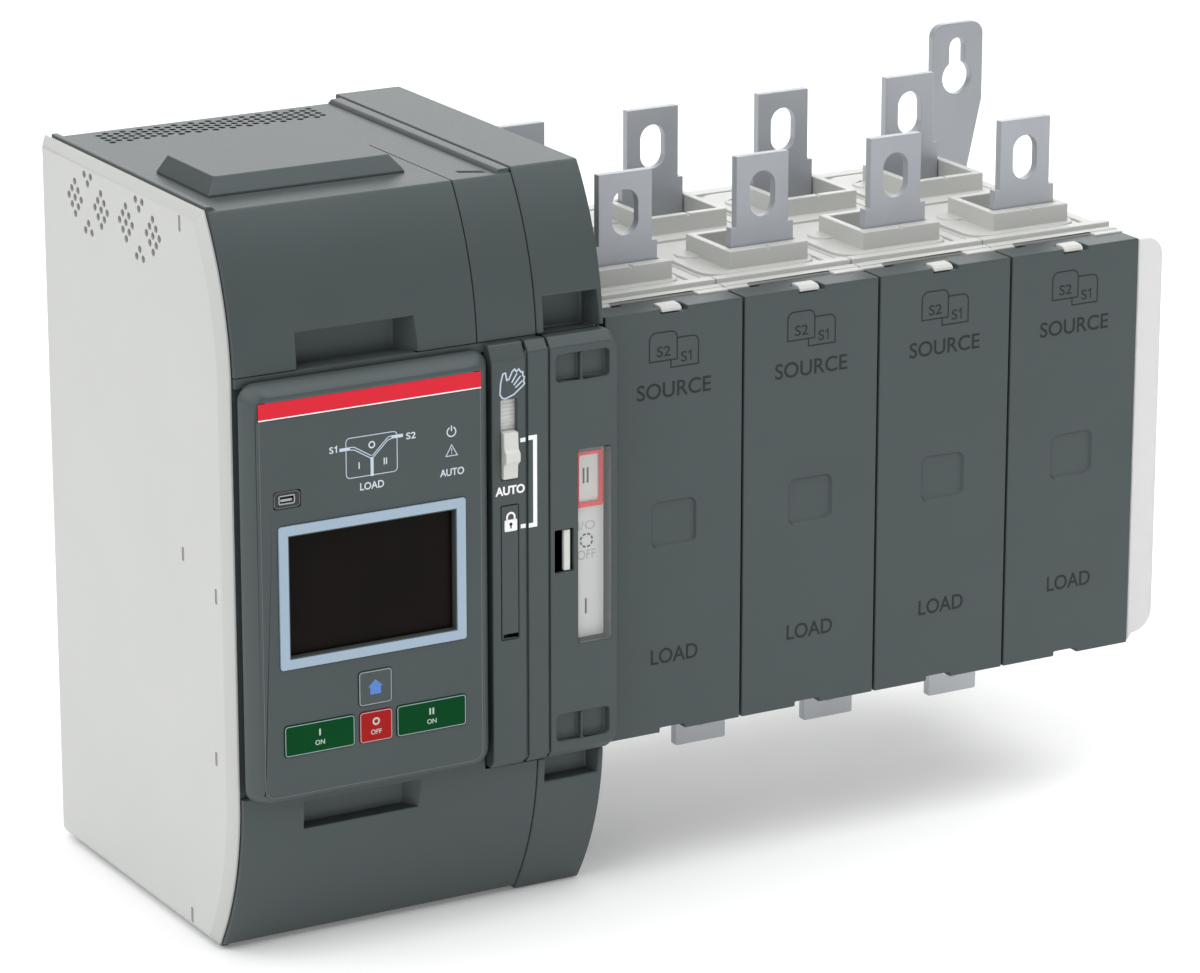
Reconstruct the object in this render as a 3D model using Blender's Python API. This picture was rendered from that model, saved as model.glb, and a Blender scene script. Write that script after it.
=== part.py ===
"""Four-pole automatic transfer switch for a distribution panel.

A control module stands at the left and four switch poles stand at its right.
Each pole holds two switches, one behind the other: source 1 in front and
source 2 behind, with one shared load terminal below.

The drawing is in millimetres: X runs right from the left face of pole 1,
Y runs back from the front of the pole covers, Z runs up from the bottom of
the pole covers.  DATUM is the drawing point that becomes the world origin,
the middle of the rear mounting face.
"""
import math

import bmesh
import bpy

UNIT = 0.001
GAP = 0.3
DATUM = (52.0, 167.0, 90.0)

# Poles
POLES = 4
PITCH = 65.0
COVER_HEIGHT = 179.4
COVER_DEPTH = 15.6
COVER_WALL = 2.5
HOUSING_FRONT = COVER_DEPTH + 0.4
HOUSING_REAR = 160.0
DECK_TOP = 181.0
DECK_UNDERSIDE = 169.5
POCKET_FLOOR = 172.0
HOUSING_BOTTOM = -1.0
BOTTOM_WALL_TOP = 10.5
COLLAR_TOP = 188.9
COLLAR_HALF = 19.0
COLLAR_WALL, COLLAR_FRONT_WALL = 3.3, 5.0
FRONT_COLLAR = (34.0, 69.0)
BACK_COLLAR = (98.5, 136.5)
LOAD_POCKET, LOAD_POCKET_TOP = (70.0, 106.0), 7.5
CLIP_LEFT, CLIP_RIGHT = 26.3, 38.6
CLIP_WIDTH, HOOK_DEPTH, CLIP_REACH = 9.4, 2.0, 7.0
FOOT_NOTCH = (26.6, 38.2)
BADGE, BADGE_RADIUS, BADGE_DEPTH = (22.4, 42.8, 79.6, 98.6), 3.0, 0.6

# Terminals
BAR_THICKNESS = 4.0
SOURCE1_Y, SOURCE2_Y, LOAD_Y = 39.3, 128.4, 86.3
SOURCE1_TOP, SOURCE2_TOP, LOAD_END = 226.7, 228.3, -43.0
TAB_HALF, BASE_HALF = 12.5, 15.0
SHOULDER_Z = 197.0
SLOT_WIDTH, SLOT_HEIGHT, SLOT_DROP = 12.0, 19.0, 16.7
LOAD_STEP, LOAD_STEP_Z = 0.3, -2.0
CROSSBAR = (36.0, 40.0)

# End plate
END_REACH, FLANGE_THICKNESS, END_WALL = 12.3, 2.2, 2.0

# Mounting plate
PLATE_FRONT, PLATE_REAR = 163.0, 167.0
STRAP_LOW, STRAP_HIGH = 12.0, 168.0
EAR_X, INNER_MOUNT_X = 274.9, -84.0
KEYHOLE_Z, LOWER_SLOT_Z = 215.6, -44.0

# Contact rotors
ROTOR_Z = 92.0
ROTOR_RADIUS = 7.0
SWING = 35.0
BLADE_REACH = 34.0
CONTACT_GAP = 0.5
CRANK_ARM = 22.0
CRANK_PIN_RADIUS = 3.0
SHAFT_HOLE_RADIUS = 9.0
ROTOR_LEFT, ROTOR_RIGHT = -30.0, 259.2
PLUNGER_X = -48.0
PLUNGER_RADIUS, BORE_RADIUS, COIL_RADIUS = 5.0, 5.6, 14.0
SOLENOIDS = ((32.0, 74.0), (108.0, 150.0))

# Control module
MODULE_LEFT, MODULE_RIGHT = -170.0, -3.7
MODULE_TOP, MODULE_BOTTOM = 240.0, -60.0
MODULE_FRONT, MODULE_REAR = -6.3, 160.0
MIDDLE_Z = (MODULE_TOP + MODULE_BOTTOM) / 2
BROW_RADIUS = 124.0
BROW_START = 172.0
BAND_TOP, BAND_BOTTOM = 178.6, 1.4
SHELL = 2.5
SIDE_PANEL_INNER = -166.0
SIDE_PANEL_REAR, SIDE_PANEL_SETBACK, SIDE_PANEL_RIM = 163.7, 2.6, 2.5
VENT_CLUSTERS = ((115.9, 222.0), (67.8, 222.0))
RAISED_LEFT = -33.9
RAISED_STEP = 1.8
RAISED_REAR = 166.4
UPSTAND_RIGHT, UPSTAND_TOP = -58.0, 7.5
BAND_FRONT = -3.0
BOSS_SETBACK, BOSS_BACK, GRIP_BACK = 2.6, 7.5, 5.0
MAIN_GRIP, RAISED_GRIP = (-138.5, -87.5), (-30.0, -7.2)
GRIP_HEIGHT, LOWER_GRIP_HEIGHT = 14.0, 10.4
COVER_SEAM = (-61.4, -60.6)
HATCH_BASE, HATCH_FACE = (-155.3, -70.0, 35.0, 83.0), (-151.0, -74.3, 39.5, 81.9)
GRILLE = (-150.3, -50.0, 136.5, 155.0)

# Operator panel
HMI_FACE = -15.0
HMI_BACK = -6.6
CONTROL_FACE = -11.5
CONTROL_BACK = -3.3


# ---------------------------------------------------------------- outlines
def rectangle(a0, a1, b0, b1):
    return [(a0, b0), (a1, b0), (a1, b1), (a0, b1)]


def arc(centre, radius, start, end, steps):
    """Points on a circle, from the start to the end angle in degrees."""
    points = []
    for step in range(steps + 1):
        angle = math.radians(start + (end - start) * step / steps)
        points.append((centre[0] + radius * math.cos(angle), centre[1] + radius * math.sin(angle)))
    return points


def rounded(a0, a1, b0, b1, radius, steps=3):
    """Rectangle with its four corners rounded."""
    corners = ((a0 + radius, b0 + radius, 180), (a1 - radius, b0 + radius, 270),
               (a1 - radius, b1 - radius, 0), (a0 + radius, b1 - radius, 90))
    points = []
    for a, b, start in corners:
        points += arc((a, b), radius, start, start + 90, steps)
    return points


def grown(box, margin):
    """A rectangle (left, right, low, high) made larger all round."""
    return box[0] - margin, box[1] + margin, box[2] - margin, box[3] + margin


def circle(a, b, radius, sides=12):
    return arc((a, b), radius, 0, 360 - 360 / sides, sides - 1)


def slot(a, b, width, height, steps=4):
    """Upright slot with round ends, centred on a, b."""
    half = (height - width) / 2
    return (arc((a, b + half), width / 2, 0, 180, steps)
            + arc((a, b - half), width / 2, 180, 360, steps))


def brow(inset, top, steps=10):
    """Module front from the control band up over the brow to the top, as (y, z)."""
    radius = BROW_RADIUS - inset
    centre_y = MODULE_FRONT + BROW_RADIUS
    last = math.degrees(math.asin((top - BROW_START) / radius))
    first = math.degrees(math.asin((BAND_TOP - BROW_START) / radius))
    return [(centre_y - radius * math.cos(math.radians(angle)),
             BROW_START + radius * math.sin(math.radians(angle)))
            for angle in (first + (last - first) * step / steps for step in range(steps + 1))]


def mirrored(outline):
    """The same outline reflected about the module's middle height."""
    return [(y, 2 * MIDDLE_Z - z) for y, z in reversed(outline)]


def module_profile(inset, extra_top=0.0, rear=MODULE_REAR):
    """Whole side profile of the module, as (y, z)."""
    top = brow(inset, MODULE_TOP + extra_top - inset)
    return mirrored(top) + top + [(rear, top[-1][1]), (rear, 2 * MIDDLE_Z - top[-1][1])]


def cover_section(outer, inner):
    """Upper cover in section: a bent strip over the brow, as (y, z)."""
    skin = brow(outer, MODULE_TOP - outer)
    lining = brow(inner, MODULE_TOP - inner)
    return skin + [(MODULE_REAR, skin[-1][1]), (MODULE_REAR, lining[-1][1])] + lining[::-1]


# ------------------------------------------------------------------ bodies
def place(axis, a, b, level):
    return {"X": (level, a, b), "Y": (a, level, b), "Z": (a, b, level)}[axis]


def loft(axis, *sections):
    """Closed body through (level, outline) sections with equal numbers of points."""
    points = []
    for level, outline in sections:
        points += [place(axis, a, b, level) for a, b in outline]
    count = len(sections[0][1])
    faces = [list(range(count)), list(range(len(points) - count, len(points)))]
    for ring in range(len(sections) - 1):
        for index in range(count):
            following = (index + 1) % count
            low = ring * count
            faces.append([low + index, low + following, low + count + following, low + count + index])
    return points, faces


def prism(axis, outline, low, high):
    return loft(axis, (low, outline), (high, outline))


def block(x0, x1, y0, y1, z0, z1):
    return prism("Z", rectangle(x0, x1, y0, y1), z0, z1)


def rod(axis, a, b, radius, low, high, sides=12):
    return prism(axis, circle(a, b, radius, sides), low, high)


# ----------------------------------------------------------------- objects
def mesh_of(name, bodies, pivot):
    """Mesh of one or more closed bodies, in metres about the pivot."""
    shape = bmesh.new()
    for points, faces in bodies:
        corners = [shape.verts.new([(value - centre) * UNIT for value, centre in zip(point, pivot)])
                   for point in points]
        for face in faces:
            shape.faces.new([corners[index] for index in face])
    bmesh.ops.recalc_face_normals(shape, faces=shape.faces)
    mesh = bpy.data.meshes.new(name)
    shape.to_mesh(mesh)
    shape.free()
    return mesh


def add_object(name, mesh, pivot):
    thing = bpy.data.objects.new(name, mesh)
    thing.location = [(value - datum) * UNIT for value, datum in zip(pivot, DATUM)]
    bpy.context.scene.collection.objects.link(thing)
    return thing


def boolean(target, operation, bodies, pivot):
    """Join bodies to the target or cut them from it, with a hidden helper object."""
    name = target.name + "_" + operation.lower()
    helper = add_object(name, mesh_of(name, bodies, pivot), pivot)
    helper.hide_render = True
    helper.display_type = "WIRE"
    modifier = target.modifiers.new(operation.title(), "BOOLEAN")
    modifier.operation = operation
    modifier.solver = "EXACT"
    modifier.object = helper


def make(name, material, base, joins=(), cuts=(), pivot=(0.0, 0.0, 0.0)):
    """One sub-part: a base body, bodies joined to it, then bodies cut from it."""
    part = add_object(name, mesh_of(name, [base], pivot), pivot)
    part.data.materials.append(material)
    if joins:
        boolean(part, "UNION", joins, pivot)
    if cuts:
        boolean(part, "DIFFERENCE", cuts, pivot)
    return part


def plastic(name, colour, roughness=0.5, metallic=0.0, transmission=0.0):
    material = bpy.data.materials.new(name)
    material.use_nodes = True
    shader = material.node_tree.nodes["Principled BSDF"]
    shader.inputs["Base Color"].default_value = (*colour, 1.0)
    shader.inputs["Roughness"].default_value = roughness
    shader.inputs["Metallic"].default_value = metallic
    shader.inputs["Transmission Weight"].default_value = transmission
    return material


# ---------------------------------------------------------- mounting plate
def keyhole(x, z):
    """Keyhole in the plate: a round entry at z and a narrow slot above it."""
    return [(x - 4.0, z + 6.35)] + arc((x, z), 7.5, 122.2, 417.8, 12)[1:-1] + [(x + 4.0, z + 6.35)] + arc(
        (x, z + 14.0), 4.0, 0, 180, 4)


def build_base_plate(steel):
    left, right, strap_left, strap_right, ear_right = -164.8, -6.7, 262.0, 281.4, 288.5
    low, high, ear_low, ear_high = STRAP_LOW, STRAP_HIGH, -60.3, 240.3
    corner = 6.0
    outline = ([(left, -57.0), (right, -57.0), (right, low), (strap_left, low)]
               + arc((strap_left + corner, ear_low + corner), corner, 180, 270, 3)
               + arc((ear_right - corner, ear_low + corner), corner, 270, 360, 3)
               + [(ear_right, -25.0), (strap_right, 6.0), (strap_right, 174.0), (ear_right, 205.0)]
               + arc((ear_right - corner, ear_high - corner), corner, 0, 90, 3)
               + arc((strap_left + corner, ear_high - corner), corner, 90, 180, 3)
               + [(strap_left, high), (right, high), (right, 237.0), (left, 237.0)])
    front, rear = PLATE_FRONT, PLATE_REAR
    openings = [prism("Y", keyhole(x, KEYHOLE_Z), front - 1, rear + 1) for x in (EAR_X, INNER_MOUNT_X)]
    openings += [prism("Y", slot(x, LOWER_SLOT_Z, 8.0, 16.0), front - 1, rear + 1)
                 for x in (EAR_X, INNER_MOUNT_X)]
    make("base_plate", steel, prism("Y", outline, front, rear), cuts=openings)


# ------------------------------------------------------------------- poles
def build_pole_cover(index, dark):
    left = index * PITCH + 0.25
    right = (index + 1) * PITCH - 0.25
    start = index * PITCH
    wall = COVER_WALL
    edge = 0.8
    body = loft("Y", (0.0, rectangle(left + edge, right - edge, edge, COVER_HEIGHT - edge)),
                (edge, rectangle(left, right, 0.0, COVER_HEIGHT)),
                (COVER_DEPTH, rectangle(left, right, 0.0, COVER_HEIGHT)))
    hollow = block(left + wall, right - wall, wall, COVER_DEPTH + 1, wall, COVER_HEIGHT - wall)
    clip_notch = prism("X", [(-1, COVER_HEIGHT - HOOK_DEPTH), (wall + 0.1, COVER_HEIGHT - HOOK_DEPTH),
                             (wall + 0.1, COVER_HEIGHT - wall - 1), (CLIP_REACH, COVER_HEIGHT - wall - 1),
                             (CLIP_REACH, COVER_HEIGHT + 1), (-1, COVER_HEIGHT + 1)],
                       start + CLIP_LEFT, start + CLIP_RIGHT)
    foot_notch = block(start + FOOT_NOTCH[0], start + FOOT_NOTCH[1], -1, COVER_DEPTH + 2, -1, HOOK_DEPTH)
    badge = prism("Y", rounded(start + BADGE[0], start + BADGE[1], BADGE[2], BADGE[3], BADGE_RADIUS),
                  -1.0, BADGE_DEPTH)
    cover = make(f"pole_cover_{index + 1}", dark, body, cuts=[hollow])
    boolean(cover, "DIFFERENCE", [clip_notch, foot_notch, badge], (0.0, 0.0, 0.0))


def build_pole_housing(index, white):
    left = index * PITCH + 0.25
    right = (index + 1) * PITCH - 0.25
    centre = (index + 0.5) * PITCH
    start = index * PITCH
    body = block(left, right, HOUSING_FRONT, HOUSING_REAR, HOUSING_BOTTOM, DECK_TOP)
    collars = [block(centre - COLLAR_HALF, centre + COLLAR_HALF, y0, y1, DECK_TOP - 2, COLLAR_TOP)
               for y0, y1 in (FRONT_COLLAR, BACK_COLLAR)]
    hook_low, hook_high = COVER_HEIGHT - HOOK_DEPTH + GAP, COVER_HEIGHT + 0.4
    arm_low, arm_high = COVER_HEIGHT - COVER_WALL - 3.0, COVER_HEIGHT - COVER_WALL - 0.5
    wall_back = COVER_WALL + 0.4
    clip = prism("X", [(0.1, hook_low), (wall_back, hook_low), (wall_back, arm_low),
                       (HOUSING_FRONT + 2, arm_low), (HOUSING_FRONT + 2, arm_high),
                       (CLIP_REACH - GAP, arm_high), (CLIP_REACH - GAP, hook_high), (0.1, hook_high)],
                 start + CLIP_LEFT + GAP, start + CLIP_LEFT + GAP + CLIP_WIDTH)
    inside = COLLAR_HALF - COLLAR_WALL
    cavity = block(left + SHELL, right - SHELL, HOUSING_FRONT - 1, HOUSING_REAR - 3,
                   BOTTOM_WALL_TOP, DECK_UNDERSIDE)
    pockets = [block(centre - inside, centre + inside, y0 + front_wall, y1 - COLLAR_WALL,
                     POCKET_FLOOR, COLLAR_TOP + 1)
               for (y0, y1), front_wall in ((FRONT_COLLAR, COLLAR_FRONT_WALL), (BACK_COLLAR, COLLAR_WALL))]
    pockets.append(block(centre - inside, centre + inside, LOAD_POCKET[0], LOAD_POCKET[1],
                         HOUSING_BOTTOM - 1, LOAD_POCKET_TOP))
    passages = [block(centre - BASE_HALF - GAP, centre + BASE_HALF + GAP, y - GAP,
                      y + BAR_THICKNESS + GAP, DECK_UNDERSIDE - 2, POCKET_FLOOR + 2)
                for y in (SOURCE1_Y, SOURCE2_Y)]
    passages.append(block(centre - TAB_HALF - GAP, centre + TAB_HALF + GAP, LOAD_Y - LOAD_STEP - GAP,
                          LOAD_Y + BAR_THICKNESS + GAP, LOAD_POCKET_TOP - 1.5, BOTTOM_WALL_TOP + 2))
    shafts = [rod("X", y + BAR_THICKNESS / 2, ROTOR_Z, SHAFT_HOLE_RADIUS, left - 1, right + 1)
              for y in (SOURCE1_Y, SOURCE2_Y)]
    housing = make(f"pole_housing_{index + 1}", white, body, joins=collars + [clip], cuts=[cavity] + pockets)
    boolean(housing, "DIFFERENCE", passages + shafts, (0.0, 0.0, 0.0))


def build_source_terminal(source, index, y, top, metal):
    """Flat bar: a slotted tab above its shoulders, and a contact tip below."""
    centre = (index + 0.5) * PITCH
    tip = ROTOR_Z + BLADE_REACH + CONTACT_GAP
    outline = [(centre - BASE_HALF, tip), (centre + BASE_HALF, tip), (centre + BASE_HALF, SHOULDER_Z),
               (centre + TAB_HALF, SHOULDER_Z), (centre + TAB_HALF, top), (centre - TAB_HALF, top),
               (centre - TAB_HALF, SHOULDER_Z), (centre - BASE_HALF, SHOULDER_Z)]
    bolt_slot = prism("Y", slot(centre, top - SLOT_DROP, SLOT_WIDTH, SLOT_HEIGHT),
                      y - 1, y + BAR_THICKNESS + 1)
    make(f"source_{source}_terminal_{index + 1}", metal,
         prism("Y", outline, y, y + BAR_THICKNESS), cuts=[bolt_slot])


def build_load_terminal(index, metal):
    """Forked bar: one tip for each switch, and a slotted tab below."""
    centre = (index + 0.5) * PITCH
    tip = ROTOR_Z - BLADE_REACH - CONTACT_GAP
    bar_low, bar_high = CROSSBAR
    front, back = SOURCE1_Y, SOURCE2_Y + BAR_THICKNESS
    thick = BAR_THICKNESS
    outline = [(LOAD_Y, LOAD_END), (LOAD_Y + thick, LOAD_END), (LOAD_Y + thick, bar_low), (back, bar_low),
               (back, tip), (back - thick, tip), (back - thick, bar_high), (front + thick, bar_high),
               (front + thick, tip), (front, tip), (front, bar_low), (LOAD_Y - LOAD_STEP, bar_low),
               (LOAD_Y - LOAD_STEP, LOAD_STEP_Z), (LOAD_Y, LOAD_STEP_Z)]
    bolt_slot = prism("Y", slot(centre, LOAD_END + SLOT_DROP, SLOT_WIDTH, SLOT_HEIGHT),
                      LOAD_Y - 1, LOAD_Y + thick + 1)
    make(f"load_terminal_{index + 1}", metal,
         prism("X", outline, centre - TAB_HALF, centre + TAB_HALF), cuts=[bolt_slot])


def build_end_plate(grey):
    """Plate beside the last pole, with a flange beside the pole cover."""
    left = POLES * PITCH + 0.4
    right = left + END_REACH
    outline = ([(left, 0.5)] + arc((right - 9.0, 14.5), 9.0, 270, 360, 4)
               + arc((right - 8.0, 170.5), 8.0, 0, 90, 4) + [(left, 178.5)])
    flange = prism("Y", outline, 1.0, 1.0 + FLANGE_THICKNESS)
    side = block(left, left + END_WALL, 2.5, 158.0, 8.0, 168.0)
    shafts = [rod("X", y + BAR_THICKNESS / 2, ROTOR_Z, SHAFT_HOLE_RADIUS, left - 1, left + END_WALL + 1)
              for y in (SOURCE1_Y, SOURCE2_Y)]
    make("end_plate", grey, flange, joins=[side], cuts=shafts)


# --------------------------------------------------------------- mechanism
def blade(x, axis_y, tilt):
    """Contact blade across the shaft, its top leaned back by the tilt in degrees."""
    cos, sin = math.cos(math.radians(tilt)), math.sin(math.radians(tilt))
    outline = [(axis_y + across * cos + along * sin, ROTOR_Z - across * sin + along * cos)
               for across, along in rectangle(-2.0, 2.0, -BLADE_REACH, BLADE_REACH)]
    return prism("X", outline, x - 9, x + 9)


def build_rotor(source, y, tilt, metal):
    """Shaft through the poles with a contact blade in each, and a crank at its left end."""
    axis_y = y + BAR_THICKNESS / 2
    centres = [(index + 0.5) * PITCH for index in range(POLES)]
    blades = [blade(x, axis_y, tilt) for x in centres]
    crank = prism("X", rounded(axis_y - 5, axis_y + 5, ROTOR_Z - CRANK_ARM - 6, ROTOR_Z + 5, 3.0),
                  -27.0, -22.0)
    pin = rod("X", axis_y, ROTOR_Z - CRANK_ARM, CRANK_PIN_RADIUS, -23.0, -15.5)
    pivot = (0.0, axis_y, ROTOR_Z)
    rotor = make(f"contact_rotor_{source}", metal,
                 rod("X", axis_y, ROTOR_Z, ROTOR_RADIUS, ROTOR_LEFT, ROTOR_RIGHT),
                 joins=blades + [crank], pivot=pivot)
    boolean(rotor, "UNION", [pin], pivot)


def build_transfer_link(metal):
    """Bar that joins both cranks, with a drive pin for the plunger."""
    front, back = SOURCE1_Y + BAR_THICKNESS / 2, SOURCE2_Y + BAR_THICKNESS / 2
    pin_z = ROTOR_Z - CRANK_ARM
    left, right = -20.5, -17.5
    bar = prism("X", rounded(front - 7, back + 7, pin_z - 6, pin_z + 6, 5.0), left, right)
    drive_pin = rod("X", (front + back) / 2, pin_z, 2.5, -31.0, left + 1)
    holes = [rod("X", y, pin_z, CRANK_PIN_RADIUS + 0.4, left - 1, right + 1) for y in (front, back)]
    make("transfer_link", metal, bar, joins=[drive_pin], cuts=holes, pivot=(0.0, front, pin_z))


def build_solenoid_plunger(metal):
    middle = (SOURCE1_Y + SOURCE2_Y + BAR_THICKNESS) / 2
    pin_z = ROTOR_Z - CRANK_ARM
    core = rod("Y", PLUNGER_X, pin_z, PLUNGER_RADIUS, 24.0, 146.0)
    arm = block(PLUNGER_X - 2, -24.0, middle - 5, middle + 5, pin_z - 8, pin_z + 8)
    pin_slot = block(-32.5, -23.0, middle - 3.1, middle + 3.1, pin_z - 4, pin_z + 9)
    make("solenoid_plunger", metal, core, joins=[arm], cuts=[pin_slot], pivot=(PLUNGER_X, middle, pin_z))


def build_solenoid(source, extent, black):
    """Coil in its yoke, with a bore for the shared plunger."""
    front, rear = extent
    pin_z = ROTOR_Z - CRANK_ARM
    low, high = 51.8, pin_z + 17
    half = 16.0
    yoke = [block(PLUNGER_X - half, PLUNGER_X + half, y, y + 3.0, low, high) for y in (front, rear - 3.0)]
    base = block(PLUNGER_X - half, PLUNGER_X + half, front, rear, low, low + 3.0)
    coil = rod("Y", PLUNGER_X, pin_z, COIL_RADIUS, front + 2, rear - 2, 20)
    bore = rod("Y", PLUNGER_X, pin_z, BORE_RADIUS, front - 1, rear + 1)
    solenoid = make(f"solenoid_source_{source}", black, base, joins=yoke)
    boolean(solenoid, "UNION", [coil], (0.0, 0.0, 0.0))
    boolean(solenoid, "DIFFERENCE", [bore], (0.0, 0.0, 0.0))


def build_mechanism_bracket(steel):
    outline = [(28.0, 49.0), (162.6, 49.0), (162.6, 100.0), (160.1, 100.0), (160.1, 51.5), (28.0, 51.5)]
    make("mechanism_bracket", steel, prism("X", outline, -90.0, -12.0))


def build_control_board(green):
    board = prism("X", rectangle(30.0, 150.0, -40.0, 220.0), -159.5, -157.9)
    chips = [block(-158.5, -152.0, y, y + 18.0, z, z + 14.0)
             for y, z in ((45, 20), (45, 60), (100, -10), (110, 180))]
    make("control_board", green, board, joins=chips)


def build_power_supply(black):
    body = block(-150.0, -90.0, 96.0, 152.0, 150.0, 205.0)
    coil = block(-142.0, -98.0, 90.0, 158.0, 160.0, 195.0)
    make("power_supply", black, body, joins=[coil])


# ------------------------------------------------------------ module shell
def vent_holes(y, z, radius=1.3):
    """One cluster: a triangle above, two diamonds of nine, a triangle below."""
    step_y, step_z = 2.9, 3.3
    centres = []
    for sign in (-1, 1):
        centres.append((y, z + sign * 8.1))
        centres += [(y + side * step_y, z + sign * (8.1 + step_z)) for side in (-1, 1)]
        for row in range(3):
            for column in range(3):
                centres.append((y + sign * 12.4 + (row - column) * step_y, z + (row + column - 2) * step_z))
    return [rod("X", hole_y, hole_z, radius, MODULE_LEFT - 1, SIDE_PANEL_INNER + 1, 8)
            for hole_y, hole_z in centres]


def side_outline(inset):
    """Outline of the side panel, set back from the front of the covers, as (y, z)."""
    return [(y + SIDE_PANEL_SETBACK if y < MODULE_REAR - 1 else SIDE_PANEL_REAR - inset, z)
            for y, z in module_profile(inset)]


def build_side_panel(grey):
    body = loft("X", (MODULE_LEFT, side_outline(SIDE_PANEL_RIM)),
                (MODULE_LEFT + SIDE_PANEL_RIM, side_outline(0.0)),
                (SIDE_PANEL_INNER, side_outline(0.0)))
    slots = [prism("X", rectangle(y, y + 1.6, z, z + height), MODULE_LEFT - 1, MODULE_LEFT + 1.5)
             for y, z, height in ((30.0, 230.0, 7.0), (34.0, 95.6, 5.2), (8.0, 86.2, 5.8),
                                  (8.0, 18.8, 5.2), (33.4, -56.0, 6.4))]
    vents = [hole for y, z in VENT_CLUSTERS for hole in vent_holes(y, z)]
    make("side_panel_left", grey, body, cuts=vents + slots)


def notch_boss(span, upper=True):
    """Block behind a grip notch in the cover, and the notch itself."""
    x0, x1 = span
    high = BAND_TOP + (GRIP_HEIGHT if upper else LOWER_GRIP_HEIGHT)
    boss = block(x0 - 2, x1 + 2, MODULE_FRONT + BOSS_SETBACK, BOSS_BACK, BAND_TOP, high + 1.5)
    notch = block(x0, x1, MODULE_FRONT - 2, GRIP_BACK, BAND_TOP - 1, high)
    if upper:
        return boss, notch
    return flipped(boss), flipped(notch)


def flipped(body):
    """A body reflected about the module's middle height."""
    points, faces = body
    return [(x, y, 2 * MIDDLE_Z - z) for x, y, z in points], faces


def build_top_cover(dark):
    left, right = SIDE_PANEL_INNER + GAP, RAISED_LEFT - GAP
    boss, notch = notch_boss(MAIN_GRIP)
    seam = prism("X", cover_section(-0.5, 1.2), *COVER_SEAM)
    grille_hole = block(*grown(GRILLE, GAP), MODULE_TOP - 5, MODULE_TOP + 1)
    cover = make("top_cover", dark, prism("X", cover_section(GAP, GAP + SHELL), left, right),
                 joins=[boss], cuts=[notch, grille_hole])
    boolean(cover, "DIFFERENCE", [seam], (0.0, 0.0, 0.0))


def build_bottom_cover(dark):
    left, right = SIDE_PANEL_INNER + GAP, RAISED_LEFT - GAP
    boss, notch = notch_boss(MAIN_GRIP, upper=False)
    upstand = block(left, UPSTAND_RIGHT, MODULE_FRONT + 0.5, MODULE_FRONT + 2.8, BAND_BOTTOM - 3, UPSTAND_TOP)
    cover = make("bottom_cover", dark, prism("X", mirrored(cover_section(GAP, GAP + SHELL)), left, right),
                 joins=[boss])
    boolean(cover, "UNION", [upstand], (0.0, 0.0, 0.0))
    boolean(cover, "DIFFERENCE", [notch], (0.0, 0.0, 0.0))


def build_raised_cover(dark):
    """Right part of the casing: front, top, bottom and right wall in one shell."""
    outer = module_profile(0.0, RAISED_STEP, rear=RAISED_REAR)
    inner = module_profile(SHELL, RAISED_STEP, rear=RAISED_REAR + 1)
    body = prism("X", outer, RAISED_LEFT, MODULE_RIGHT)
    hollow = prism("X", inner, RAISED_LEFT - 1, MODULE_RIGHT - SHELL)
    band = block(RAISED_LEFT - 1, MODULE_RIGHT + 1, MODULE_FRONT - 2, BAND_FRONT,
                 BAND_BOTTOM, BAND_TOP)
    backing = block(RAISED_LEFT, MODULE_RIGHT, BAND_FRONT, BAND_FRONT + SHELL, BAND_BOTTOM - 2, BAND_TOP + 2)
    boss, notch = notch_boss(RAISED_GRIP)
    low_boss, low_notch = notch_boss(RAISED_GRIP, upper=False)
    shafts = [rod("X", y + BAR_THICKNESS / 2, ROTOR_Z, SHAFT_HOLE_RADIUS + 0.5,
                  MODULE_RIGHT - SHELL - 1, MODULE_RIGHT + 1) for y in (SOURCE1_Y, SOURCE2_Y)]
    plate_slot = block(MODULE_RIGHT - SHELL - 1, MODULE_RIGHT + 1, PLATE_FRONT - GAP, RAISED_REAR + 1,
                       STRAP_LOW - GAP, STRAP_HIGH + GAP)
    cover = make("raised_cover", dark, body, cuts=[hollow])
    pivot = (0.0, 0.0, 0.0)
    boolean(cover, "UNION", [backing], pivot)
    boolean(cover, "DIFFERENCE", [band] + shafts, pivot)
    boolean(cover, "UNION", [boss, low_boss], pivot)
    boolean(cover, "DIFFERENCE", [notch, low_notch, plate_slot], pivot)


def build_front_panel(dark):
    body = block(SIDE_PANEL_INNER + GAP, RAISED_LEFT - GAP, BAND_FRONT, BAND_FRONT + SHELL,
                 BAND_BOTTOM + 0.5, BAND_TOP - 0.3)
    hmi_opening = block(-158.8, -63.2, BAND_FRONT - 1, BAND_FRONT + 4, 11.2, 170.8)
    lock_opening = block(-53.8, -44.9, BAND_FRONT - 1, BAND_FRONT + 4, 55.4, 113.0)
    make("front_panel", dark, body, cuts=[hmi_opening, lock_opening])


def build_top_hatch(dark):
    low, base, face = MODULE_TOP + 0.1, rectangle(*HATCH_BASE), rectangle(*HATCH_FACE)
    make("top_hatch", dark, loft("Z", (low, base), (low + 0.8, base), (low + 6.5, face)))


def build_vent_grille(dark):
    """Grille plate with staggered columns of square holes."""
    left, right, front, rear = GRILLE
    pitch_x, pitch_y, side = 3.83, 4.4, 2.8
    holes = []
    for column in range(26):
        for row in range(4):
            x = left + 0.9 + column * pitch_x
            y = front + 1.2 + row * pitch_y + (column % 2) * pitch_y / 2
            holes.append(block(x, x + side, y, y + side, MODULE_TOP - 4, MODULE_TOP + 1))
    body = block(left, right, front, rear, MODULE_TOP - SHELL, MODULE_TOP - GAP)
    make("vent_grille", dark, body, cuts=holes)


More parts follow.
